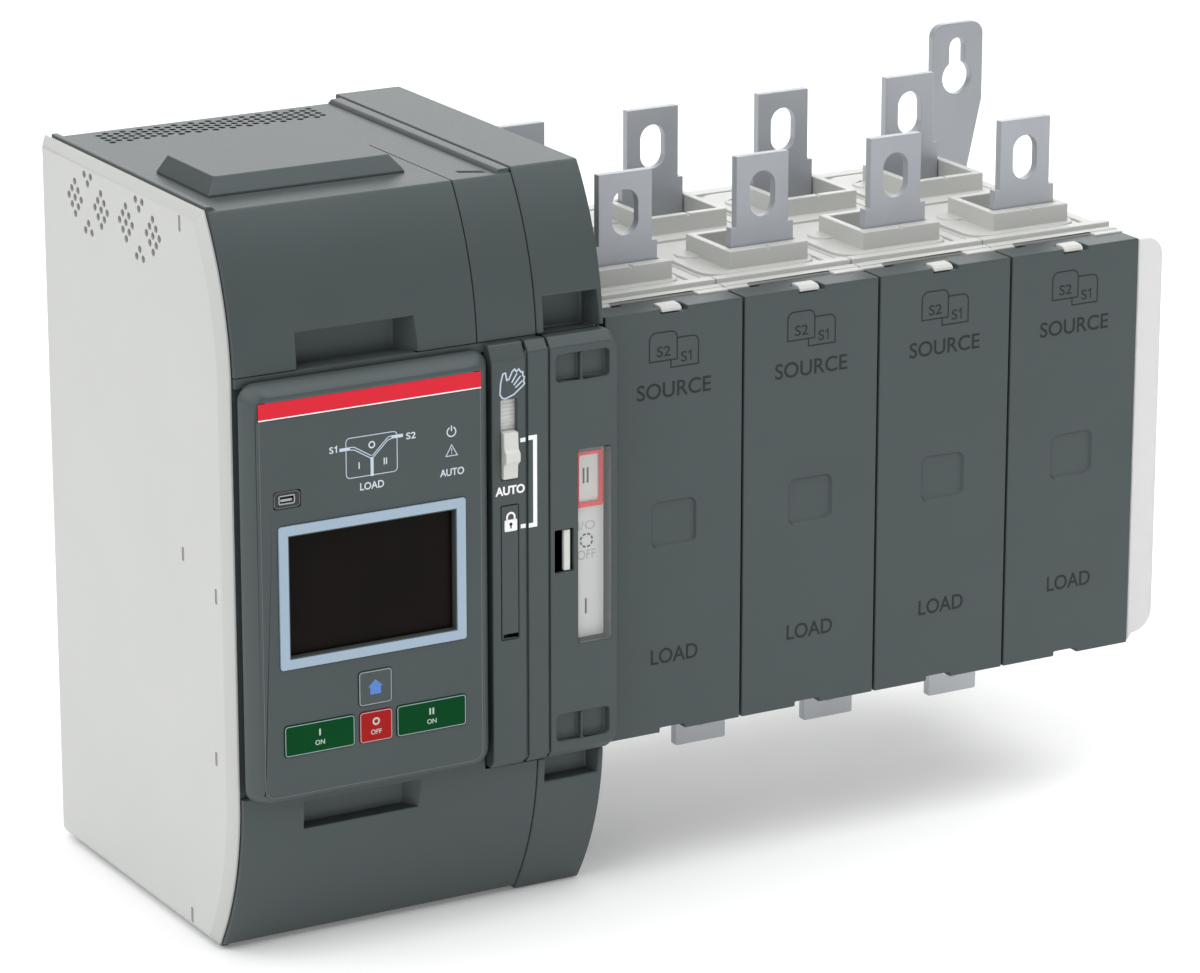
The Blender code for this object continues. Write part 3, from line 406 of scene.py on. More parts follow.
def pole_cover(index):
    node = f"pole_cover_{index + 1}"
    left, right, front, rear, low, high = extent(node)
    start, wall = left - POLE_MARGIN, 2.5
    hollow = block(left + wall, right - wall, front + wall, rear + 1, low + wall, high - wall)
    clip_outline = [(-1, high - 2.0), (wall + 0.1, high - 2.0), (wall + 0.1, high - wall - 1),
                    (7.0, high - wall - 1), (7.0, high + 1), (-1, high + 1)]
    clip_notch = prism("X", clip_outline, start + 26.3, start + 38.6)
    foot_notch = block(start + 26.6, start + 38.2, front - 1, rear + 2, low - 1, low + 2.0)
    rear_steps = [block(left - 1, start + 11.4, rear - 2.4, rear + 1, high - 1.4, high + 1),
                  block(right - 14.4, right + 1, rear - 4.4, rear + 1, high - 1.4, high + 1)]
    rear_notch = block(start + 11.3, start + 15.4, rear - 3.0, rear + 1, high - wall - 1, high + 1)
    badge = loft("Y", (front - 0.5, rounded(start + 21.6, start + 43.6, 78.8, 99.4, 3.8)),
                 (front + 1.0, rounded(start + 22.8, start + 42.4, 80.0, 98.2, 2.6)))
    piece(node + "_skin", DARK, block(left + 0.2, right - 0.2, front, rear, low, high),
          cuts=[[hollow], [clip_notch, foot_notch], rear_steps, [rear_notch]], edge=0.7,
          nodes=[node], late_cuts=[[badge]])
    shade_plate = block(start + 10.8, start + 15.9, rear - 0.5, rear - 0.1, high - 9, high - 0.4)
    mark(node + "_notch_shade", BLACK, [shade_plate])
    # The sunk tab symbol and words are flat marks in a darker colour: painted shade in their strokes.
    y0, y1 = front - PRINT_PROUD, front + 0.2
    tabs = ribbon(file_tab(start + 20.9, start + 33.8, 157.9, 169.8, 3.0), 0.62, y0, y1, closed=True)
    tabs += ribbon([(start + 33.8, 166.7)] + arc(start + 41.0, 164.0, 2.7, 90, 0, 6)
                   + [(start + 43.7, 154.7), (start + 30.9, 154.7), (start + 30.9, 157.9)], 0.62, y0, y1)
    tabs += ribbon(numeral_one(start + 40.2, 158.5, 4.2), 0.62, y0, y1)
    mark(node + "_symbol", SUNK_SHADE_AND_PRINT, tabs)
    for text, x, z, height, width in (("S2", 27.5, 161.8, 4.4, 6.4), ("S", 37.0, 158.5, 4.4, 2.9),
                                      ("SOURCE", 32.4, 145.7, 6.6, 34.6), ("LOAD", 33.0, 33.1, 6.6, 22.2)):
        letters(f"{node}_{text.lower()}", text, SUNK_SHADE_AND_PRINT, start + x, front, z, height, width, bold=0.012)


def pole_housing(index):
    node = f"pole_housing_{index + 1}"
    left, right, front, rear, low, top = extent(node)
    front, ledge, deck, start = 16.0, 179.6, 181.0, left - POLE_MARGIN
    centre = (left + right) / 2
    half, wall = 19.0, 3.3
    collars = ((34.0, 69.0), (98.5, 136.5))
    pads = [prism("Z", rounded(left + 1.4, right - 9.0, y0, y1, 9.0), ledge - 2, deck)
            for y0, y1 in ((31.0, 86.6), (90.6, 151.0))]
    rails = [block(left, right, front, front + 4.6, ledge - 2, 180.4),
             block(left, right, front + 5.8, front + 10.6, ledge - 2, 182.0),
             block(left, right, 153.0, rear, ledge - 2, deck)]
    shoulders = [rod("Z", centre - half - 1.2, y, 6.2, ledge - 2, deck + 0.8) for y in (64.0, 131.0)]
    walls = [block(centre - half, centre + half, y0, y1, deck - 2, top) for y0, y1 in collars]
    clip = prism("X", [(0.1, 177.9), (2.9, 177.9), (2.9, 173.9), (front + 2, 173.9), (front + 2, 176.4),
                       (6.7, 176.4), (6.7, 180.4), (1.6, 180.1), (0.1, 179.0)], start + 26.6, start + 36.0)
    lugs = [block(right - 14.0, right, front - 3.9, front + 2, 178.3, 180.0),
            block(left, start + 11.0, front - 2.2, front + 2, 178.3, 179.7)]
    cavity = block(left + 2.5, right - 2.5, front - 1, rear - 3, 10.5, 169.5)
    inside = half - wall
    pockets = [block(centre - inside, centre + inside, y0 + front_wall, y1 - wall, 172.0, top + 1)
               for (y0, y1), front_wall in zip(collars, (5.0, wall))]
    pockets.append(block(centre - inside, centre + inside, 70.0, 106.0, low - 1, 7.5))
    passages = [block(centre - 15.3, centre + 15.3, y - 2.3, y + 2.3, 167.0, 174.0) for y, z in SHAFTS]
    passages.append(block(centre - 12.8, centre + 12.8, 85.7, 90.6, 6.0, 13.0))
    shafts = [rod("X", y, z, 9.0, left - 1, right + 1) for y, z in SHAFTS]
    slits = [block(left - 1, right + 1, 87.9, 89.3, 172.5, deck + 1)]
    slits += [block(right - 7.0, right - 5.8, y0, y1, 179.4, deck + 0.5)
              for y0, y1 in ((27.2, 85.5), (92.0, 150.0))]
    ticks = [block(centre - 0.4, centre + 0.4, y0 - 1, y0 + wall, top - 0.8, top + 1) for y0, y1 in collars]
    piece(node + "_shell", WHITE, block(left, right, front, rear, low, ledge),
          joins=[pads + rails, shoulders, walls, [clip], lugs],
          cuts=[[cavity] + pockets, passages + shafts, slits, ticks],
          edge=0.45, segments=3, nodes=[node])


def source_terminal(source, index):
    node = f"source_{source}_terminal_{index + 1}"
    x0, x1, y0, y1, low, top = extent(node)
    tab0, tab1, shoulder = x0 + 2.5, x1 - 2.5, 197.0
    outline = [(x0, low), (x1, low), (x1, shoulder), (tab1, shoulder), (tab1, top), (tab0, top),
               (tab0, shoulder), (x0, shoulder)]
    hole = prism("Y", slot((x0 + x1) / 2, top - 16.7, 12.0, 19.0), y0 - 1, y1 + 1)
    piece(node + "_bar", TINNED, prism("Y", outline, y0, y1), cuts=[[hole]], edge=0.35,
          nodes=[node])


def load_terminal(index):
    node = f"load_terminal_{index + 1}"
    x0, x1, front, back, low, high = extent(node)
    y0, thick, bar_low, bar_high = 86.3, 4.0, 36.0, 40.0
    outline = [(y0, low), (y0 + thick, low), (y0 + thick, bar_low), (back, bar_low), (back, high),
               (back - thick, high), (back - thick, bar_high), (front + thick, bar_high),
               (front + thick, high), (front, high), (front, bar_low), (y0, bar_low)]
    hole = prism("Y", slot((x0 + x1) / 2, low + 16.7, 12.0, 19.0), y0 - 1, y0 + thick + 1)
    corners = [prism("Y", [(x - side, low - 0.6), (x + side * 1.2, low - 0.6), (x - side, low + 1.6)],
                     y0 - 1, y0 + 5) for x, side in ((x0, 1), (x1, -1))]
    # The load bar takes the lighter copy of the tin colour, painted light.
    piece(node + "_bar", LOAD_BAR_LIT, prism("X", outline, x0, x1), cuts=[[hole] + corners], edge=0.35,
          nodes=[node])


def end_plate():
    left, right, front, rear, low, high = extent("end_plate")
    outline = ([(left, low)] + arc(right - 10.0, low + 13.0, 10.0, 270, 360, 10)
               + arc(right - 8.0, high - 8.0, 8.0, 0, 90, 10) + [(left, high)])
    side = block(left, left + 2.0, 2.5, rear, 8.0, 168.0)
    shafts = [rod("X", y, z, 9.0, left - 1, left + 3) for y, z in SHAFTS]
    piece("end_shield", SHIELD, prism("Y", outline, front, 3.2), joins=[[side]], cuts=[shafts], edge=0.5,
          nodes=["end_plate"])


# ------------------------------------------------------------ module shell
MODULE = {"right": -3.7, "top": 240.0, "front": -6.3, "rear": 160.0, "middle": 90.0}
RADIUS, BROW_START = 124.0, 172.0
BAND_TOP, BAND_LOW = 178.6, 1.4
SIDE_INNER, RAISED_LEFT = extent("side_panel_left")[1], -33.9
MAIN_GRIP, RAISED_GRIP = (-138.5, -87.5), (-30.0, -7.6)


def brow(inset, top, steps=26, first_z=BAND_TOP):
    radius = RADIUS - inset
    centre_y = MODULE["front"] + RADIUS
    last = math.degrees(math.asin((top - BROW_START) / radius))
    first = math.degrees(math.asin((first_z - BROW_START) / radius))
    angles = [math.radians(first + (last - first) * step / steps) for step in range(steps + 1)]
    return [(centre_y - radius * math.cos(angle), BROW_START + radius * math.sin(angle)) for angle in angles]


def mirrored(outline):
    return [(y, 2 * MODULE["middle"] - z) for y, z in reversed(outline)]


def flipped(body):
    points, faces = body
    return [(x, y, 2 * MODULE["middle"] - z) for x, y, z in points], faces


def profile(inset, extra=0.0, rear=160.0):
    top = brow(inset, MODULE["top"] + extra - inset)
    return mirrored(top) + top + [(rear, top[-1][1]), (rear, 2 * MODULE["middle"] - top[-1][1])]


def section(outer, inner):
    skin, lining = brow(outer, MODULE["top"] - outer), brow(inner, MODULE["top"] - inner)
    return skin + [(MODULE["rear"], skin[-1][1]), (MODULE["rear"], lining[-1][1])] + lining[::-1]


def side_panel():
    left, inner, front, rear, low, high = extent("side_panel_left")
    rim = ((0.0, 4.2), (0.15, 3.8), (1.0, 2.6), (2.3, 1.0), (2.8, 0.4), (3.3, 0.0))
    sections = []
    for depth, inset in rim + ((inner - left, 0.0),):
        outline = [(y + 2.6 if y < 100 else y - inset, z) for y, z in profile(inset, rear=rear)]
        sections.append((left + depth, outline))
    holes = []
    for y, z in ((115.9, 222.0), (67.8, 222.0)):
        for sign in (-1, 1):
            holes += [(y, z + sign * 8.1), (y - 3.0, z + sign * 11.4), (y + 3.0, z + sign * 11.4)]
            holes += [(y + sign * 12.4 + (row - column) * 2.9, z + (row + column - 2) * 3.3)
                      for row in range(3) for column in range(3)]
    vents = [rod("X", y, z, 1.6, left - 1, inner + 1, 16) for y, z in holes]
    outlines = [rounded(y, y + 2.1, z, z + height, 0.6, 3)
                for y, z, height in ((29.8, 229.0, 6.6), (33.8, 95.4, 5.8), (4.6, 85.9, 6.2),
                                     (7.6, 18.4, 5.8), (33.2, -56.2, 6.6))]
    slits = [prism("X", outline, left - 1, left + 0.9) for outline in outlines]
    # A grey sheet inside each slit: painted shade.
    mark("side_slit_shade_sheets", SLIT_SHADE, [prism("X", outline, left + 0.5, left + 1.2) for outline in outlines])
    thin = block(left + 1.9, inner + 1, 48.0, 135.0, 204.0, 237.0)
    piece("side_panel_skin", LIGHT, loft("X", *sections), cuts=[[thin], vents, slits], edge=0.0,
          nodes=["side_panel_left"])


def notch_parts(span, height=14.0, slope=5.0, floor=4.4):
    """Block behind a grip notch, and the notch itself with one sloping end."""
    x0, x1 = span
    boss = block(x0 - 2, x1 + 2, MODULE["front"] + 2.6, 7.5, BAND_TOP - 6, BAND_TOP + height + 1.5)
    mouth = rectangle(x0 - 0.8, x1 + 3.2, BAND_TOP - 1, BAND_TOP + height + 0.6)
    notch = loft("Y", (MODULE["front"] - 3, mouth),
                 (floor, rectangle(x0, x1 - slope, BAND_TOP - 1, BAND_TOP + height - 0.4)))
    return boss, notch


def module_covers():
    left, right = SIDE_INNER + 0.3, RAISED_LEFT - 0.3
    boss, notch = notch_parts(MAIN_GRIP)
    low_boss, low_notch = [flipped(body) for body in notch_parts(MAIN_GRIP, 10.4, floor=1.2)]
    skin = section(0.3, 2.8)
    top, rear = MODULE["top"] - 0.3, MODULE["rear"]
    start = brow(0.3, top)[-1][0]
    seam_front = prism("X", section(-0.5, 1.1), -60.9, -60.3)
    seam_guard = block(-62, -59, 84.0, rear + 1, top - 4, top + 3)
    x0, x1, y0, y1, low, high = extent("vent_grille")
    grille = block(x0 - 0.02, x1 + 0.02, y0 - 0.02, y1 + 2.02, top - 5, top + 1)
    ridge = prism("Y", [(-40.4, top - 1.5), (-40.4, top + 0.4), (-39.0, top + 1.7), (right, top + 1.7),
                        (right, top - 1.5)], start + 1.0, rear)
    lip = prism("Y", [(left, top - 1.5), (left, top + 1.5), (left + 2.6, top + 1.5), (left + 5.0, top - 0.4),
                      (left + 5.0, top - 1.5)], start + 2.0, rear)
    slit = prism("Z", [(-51.8, 24.2), (-42.6, 19.4), (-42.6, 22.2), (-51.8, 27.0)], top - 4, top + 1)
    cover = raw("main_cover", [prism("X", skin, left, right)])
    combine(cover, "UNION", [boss])
    combine(cover, "UNION", [ridge, lip])
    combine(cover, "DIFFERENCE", [notch, slit])
    soften(cover, 0.5, 2)
    combine(cover, "DIFFERENCE", [grille])
    cutter = raw("cutter", [seam_front])
    combine(cutter, "DIFFERENCE", [seam_guard])
    modifier = cover.modifiers.new("seam", "BOOLEAN")
    modifier.operation, modifier.solver, modifier.object = "DIFFERENCE", "EXACT", cutter
    bake(cover)
    bpy.data.objects.remove(cutter, do_unlink=True)
    shade(cover)
    dress(cover, DARK, nodes=["top_cover"])
    outer, lining = skin[0][0], skin[-1][0]
    raised = mirrored([(outer, 172.5)] + skin + [(lining, 172.5)])
    opening = block(-58.0, right + 1, MODULE["front"] - 2, 6.0, BAND_LOW, 8.0)
    piece("lower_cover", DARK, prism("X", raised, left, right), joins=[[low_boss], [flipped(lip)]],
          cuts=[[low_notch], [opening]], edge=0.5, nodes=["bottom_cover"])
    ledge = [block(left + 0.2, right - 0.2, -5.5, -3.1, 174.5, 178.35),
             block(MAIN_GRIP[0] + 0.2, MAIN_GRIP[1] - 0.2, -5.5, 4.2, 178.35, 178.55)]
    mark("grip_ledge", DARK, ledge)
    mark("module_rear_sheet", DARK, [block(left + 0.2, right - 0.2, rear + 0.3, rear + 1.0, -57.0, 237.0)])


def raised_cover():
    left, right, front, rear, low, high = extent("raised_cover")
    body = prism("X", profile(0.0, 1.8, rear), left, right)
    hollow = prism("X", profile(2.5, 1.8, rear + 1), left - 1, right - 2.5)
    band = block(left - 1, right + 1, MODULE["front"] - 2, -3.0, BAND_LOW, BAND_TOP)
    backing = block(left, right, -3.0, -0.5, BAND_LOW - 2, BAND_TOP + 2)
    boss, notch = notch_parts(RAISED_GRIP, slope=0.6)
    low_boss, low_notch = [flipped(body) for body in notch_parts(RAISED_GRIP, 10.4, 0.6, 1.2)]
    shafts = [rod("X", y, z, 9.5, right - 3.5, right + 1) for y, z in SHAFTS]
    plate_slot = block(right - 3.5, right + 1, 162.7, rear + 1, 11.7, 168.3)
    thing = raw("raised_casing", [body])
    combine(thing, "DIFFERENCE", [hollow])
    combine(thing, "UNION", [backing])
    combine(thing, "DIFFERENCE", [band] + shafts)
    combine(thing, "UNION", [boss, low_boss])
    combine(thing, "DIFFERENCE", [notch, low_notch, plate_slot])
    soften(thing, 0.8, 3)
    shade(thing)
    dress(thing, DARK, nodes=["raised_cover"])


def top_details():
    x0, x1, y0, y1, low, high = extent("top_hatch")
    base, face = rounded(x0, x1, y0, y1, 0.8, 2), rounded(x0 + 4.6, x1 - 4.6, y0 + 4.8, y1 - 0.9, 0.8, 2)
    piece("hatch", DARK, loft("Z", (low - 1.2, base), (low + 0.4, base), (high, face)), edge=0.4, segments=3,
          nodes=["top_hatch"], sharp=20.0)
    x0, x1, y0, y1, low, high = extent("vent_grille")
    holes = []
    for column in range(26):
        for row in range(4):
            x, y = x0 + 0.9 + column * 3.83, y0 + 1.2 + row * 4.4 + (column % 2) * 2.2
            outline = [(x, y + 0.8), (x + 0.8, y), (x + 2.0, y), (x + 2.8, y + 0.8), (x + 2.8, y + 2.2),
                       (x + 2.0, y + 3.0), (x + 0.8, y + 3.0), (x, y + 2.2)]
            holes.append(prism("Z", outline, low - 1, high + 1))
    piece("grille", DARK, block(x0, x1, y0, y1 + 2.0, low, high), cuts=[holes], edge=0.0,
          nodes=["vent_grille"])
    # A black sheet under the grille holes: painted shade.
    mark("grille_shade_sheet", BLACK, [block(x0 + 0.2, x1 - 0.2, y0 + 0.2, y1 + 1.8, low - 0.5, low - 0.2)])


# ---------------------------------------------------------- operator panel
def operator_panel():
    x0, x1, face, back_y, z0, z1 = extent("hmi_bezel")
    back = rounded(x0, x1, z0, z1, 6.5)
    middle = back_y - 1.8
    rings = [(back_y, back), (middle, back)]
    for step in range(1, 7):
        amount = step / 6
        ease = amount + 0.14 * math.sin(math.pi * amount)
        rings.append((middle + (face - middle) * min(1.0, ease),
                      rounded(x0 + 4.5 * amount, x1 - 5.6 * amount, z0 + 2.2 * amount, z1 - 4.4 * amount,
                              6.5 - 1.5 * amount)))
    hollow = loft("Y", (back_y + 1, rounded(x0 + 2.3, x1 - 2.4, z0 + 2.4, z1 - 2.4, 4.0)),
                  (middle, rounded(x0 + 2.3, x1 - 2.4, z0 + 2.4, z1 - 2.4, 4.0)),
                  (face + 2.5, rounded(x0 + 6.1, x1 - 7.4, z0 + 4.4, z1 - 6.4, 4.0)))
    openings = []
    screen = extent("display_frame")
    boxes = [(screen, 2.0)] + [(extent(node), 1.5) for node in
                               ("key_source_1_on", "key_off", "key_source_2_on", "key_home")]
    boxes.append((extent("usb_port"), 1.0))
    for box, radius in boxes:
        outline = rounded(*grown(front_of(box), OPENING_MARGIN), radius)
        openings.append(prism("Y", outline, face - 2, face + 4))
    stripe = extent("hmi_stripe")
    openings.append(block(x0 + 2, x1 - 2, face - 2, face + 0.6, stripe[4] - 0.2, stripe[5] + 0.2))
    piece("panel_bezel", DARK, loft("Y", *rings), cuts=[[hollow], openings], edge=0.3, sharp=40.0,
          nodes=["hmi_bezel"])


def screen():
    x0, x1, y0, y1, z0, z1 = extent("display_frame")
    rim = 4.0
    inner = (x0 + rim, x1 - rim, z0 + rim, z1 - rim)
    piece("screen_border", BLUE, prism("Y", rounded(x0, x1, z0, z1, 1.2, 5), y0, y1),
          cuts=[[prism("Y", rectangle(*inner), y0 - 1, y1 + 1)]], edge=0.3, segments=3,
          nodes=["display_frame"])
    piece("screen_well", WELL, prism("Y", rectangle(*inner), y0 + 0.5, y1 - 0.2),
          cuts=[[prism("Y", rectangle(*grown(inner, -0.5)), y0 - 1, y1 + 1)]], edge=0.12)
    x0, x1, y0, y1, z0, z1 = extent("display_glass")
    outline = rounded(x0 - 0.1, x1 + 0.1, z0 - 0.1, z1 + 0.1, 0.4, 2)
    piece("screen_glass", GLASS, prism("Y", outline, y0, y1), edge=0.15, nodes=["display_glass"])


def house(x, z, size):
    roof = [(x - size, z + 0.1 * size), (x, z + size), (x + size, z + 0.1 * size)]
    walls = rectangle(x - 0.72 * size, x + 0.72 * size, z - 0.85 * size, z + 0.1 * size)
    return [roof, walls]


def keys():
    looks = {"key_source_1_on": (GREEN, "key_green", "on_key_1", "I", "ON"),
             "key_off": (KEY_RED, "key_red", "off_key", "O", "OFF"),
             "key_source_2_on": (GREEN, "key_green", "on_key_2", "II", "ON"),
             "key_home": (DARK, DARK_SLOT, "home_key", None, None)}
    for node, (material, slot_name, body, sign, word) in looks.items():
        x0, x1, y0, y1, z0, z1 = extent(node)
        cap = grown((x0, x1, z0, z1), 0.15)
        piece(node + "_cap", material, prism("Y", rounded(*cap, 1.4, 6), y0, y1), edge=0.2,
              body=body, nodes=[node])
        front = y0
        y0, y1 = printed(front)
        mark(node + "_outline", KEY_LINE,
             ribbon(rounded(*grown(cap, -0.38), 1.1, 5), 0.32, y0, y1, closed=True), body)
        middle = (x0 + x1) / 2
        if sign is None:
            shapes = [prism("Y", outline, y0, y1) for outline in house(middle, (z0 + z1) / 2, 3.3)]
            mark("key_home_symbol", BLUE_PRINT, shapes, body)
            continue
        if sign == "O":
            mark("key_off_symbol", KEY_PRINT,
                 ribbon(circle(middle, z0 + 8.2, 1.25, 24), 0.7, y0, y1, closed=True), body)
        else:
            bars = (0.0,) if sign == "I" else (-0.7, 0.7)
            strokes = [block(middle + x - 0.36, middle + x + 0.36, y0, y1, z0 + 6.7, z0 + 9.4) for x in bars]
            mark(node + "_symbol", KEY_PRINT, strokes, body)
        letters(node + "_word", word, KEY_PRINT, middle, front, z0 + 3.9, 2.0, body=body, bold=0.01)


def panel_prints():
    x0, x1, face, back_y, z0, z1 = extent("hmi_bezel")
    y0, y1 = printed(face)
    box = rounded(-123.2, -101.0, 135.0, 151.1, 1.6, 5)
    mark("mimic_box", PALE_PRINT, ribbon(box, 0.32, y0, y1, closed=True))
    joint, stem = (-112.0, 142.2), (-112.0, 134.6)
    mark("mimic_lines", PALE_PRINT, ribbon([(-126.0, 146.9), (-121.4, 146.9)], 1.3, y0 - 0.01, y1)
         + ribbon([(-98.4, 149.0), (-103.4, 149.0)], 1.3, y0 - 0.01, y1)
         + ribbon([joint, stem], 1.3, y0 - 0.02, y1))
    arms = []
    for shift in (-0.55, 0.55):
        for line in (((-121.4, 146.9), (-119.6, 146.7), (joint[0] - 0.2, joint[1])),
                     ((-103.4, 149.0), (-105.0, 148.6), (joint[0] + 0.2, joint[1]))):
            arms += ribbon([(x, z + shift) for x, z in line], 0.36, y0, y1)
    mark("mimic_arms", PALE_PRINT, arms)
    rim = rounded(-160.2, -64.2, 9.7, 170.2, 4.4, 8)
    # A lighter line round the panel face: painted highlight on its edge.
    mark("face_edge_highlight", EDGE_HIGHLIGHT, ribbon(rim, 0.3, face - 0.02, face + 0.1, closed=True))
    for text, x, z, height, width in (("S", -129.5, 147.4, 2.7, 1.8), ("S2", -94.9, 148.4, 2.7, 4.2),
                                      ("LOAD", -112.1, 130.9, 3.0, 10.4), ("AUTO", -77.0, 131.0, 3.0, 10.6),
                                      ("I", -117.6, 139.6, 2.7, None), ("II", -106.2, 139.8, 2.7, None)):
        letters(f"panel_{text.lower()}", text, PANEL_PRINT, x, face, z, height, width, bold=0.015)
    mark("panel_numeral", PANEL_PRINT, ribbon(numeral_one(-127.3, 147.4, 2.5), 0.5, y0, y1))
    mark("mimic_off", PANEL_PRINT, ribbon(circle(-112.0, 147.2, 1.2, 24), 0.55, y0, y1, closed=True))
    mark("power_symbol", PANEL_PRINT, ribbon(arc(-77.1, 147.3, 1.9, 115, 425, 20), 0.5, y0, y1)
         + ribbon([(-77.1, 147.6), (-77.1, 149.9)], 0.5, y0, y1))
    mark("warning_symbol", PALE_PRINT,
         ribbon([(-79.6, 137.6), (-74.6, 137.6), (-77.1, 142.0)], 0.35, y0, y1, closed=True)
         + ribbon([(-77.1, 140.7), (-77.1, 139.3)], 0.35, y0, y1)
         + ribbon([(-77.1, 138.8), (-77.1, 138.3)], 0.35, y0, y1))
    x0, x1, y0, y1, z0, z1 = extent("hmi_stripe")
    piece("stripe", RED, block(x0, x1, y0, y1, z0 + 0.5, z1), edge=0.08, nodes=["hmi_stripe"])
    mark("stripe_edge", PRINT, [block(x0, x1, y0, y1, z0, z0 + 0.5)])


def usb_socket():
    x0, x1, y0, y1, z0, z1 = extent("usb_port")
    mouth = rounded(x0 + 2.2, x1 - 2.4, z0 + 1.7, z1 - 1.7, 0.5, 3)
    tongue = [block(x0 + 3.0, x1 - 3.2, y0 + 0.5, y1 - 0.5, z0 + 2.5, z0 + 3.5)]
    piece("usb_socket", BLACK, prism("Y", rounded(x0, x1, z0, z1, 1.5, 6), y0, y1),
          cuts=[[prism("Y", mouth, y0 - 1, y1 - 0.9)]], edge=0.3, segments=3, nodes=["usb_port"])
    mark("usb_frame", STEEL, ribbon(mouth, 0.5, y0 - 0.02, y0 + 0.5, closed=True))
    mark("usb_tongue", TINNED, tongue)
    rim = rounded(x0 + 0.2, x1 - 0.2, z0 + 0.2, z1 - 0.2, 1.4, 6)
    # A lighter ring round the socket: painted highlight on its edge.
    mark("usb_edge_highlight", EDGE_HIGHLIGHT, ribbon(rim, 0.35, y0 - 0.02, y0 + 0.1, closed=True))


# ----------------------------------------------------------- control group
def upright(x0, x1, z0, z1, face_low, face_high, y0=-11.5, y1=-3.3):
    """Bar of the control group with a chamfered top and bottom."""
    return loft("Y", (y1, rectangle(x0, x1, z0, z1)), (y0 + 3.0, rectangle(x0, x1, z0, z1)),
                (y0, rectangle(x0, x1, face_low, face_high)))


# Hand symbol, in shares of its width and height.
HAND = [(0.1, 0.0), (0.0, 0.14), (0.03, 0.55), (0.12, 0.88), (0.23, 0.9), (0.28, 0.63), (0.37, 0.66),
        (0.5, 0.92), (0.6, 1.0), (0.67, 0.9), (0.77, 0.98), (0.85, 0.86), (0.93, 0.86), (0.93, 0.72),
        (1.0, 0.66), (0.96, 0.53), (1.0, 0.42), (0.9, 0.33), (0.56, 0.08), (0.22, -0.03)]
FINGERS = (((0.48, 0.52), (0.7, 0.84)), ((0.56, 0.42), (0.84, 0.72)), ((0.63, 0.32), (0.92, 0.54)))
HAND_CORNER, HAND_SIZE = (-53.6, 156.4), (11.0, 11.2)


def hand_line(points):
    return [(HAND_CORNER[0] + a * HAND_SIZE[0], HAND_CORNER[1] + b * HAND_SIZE[1]) for a, b in points]


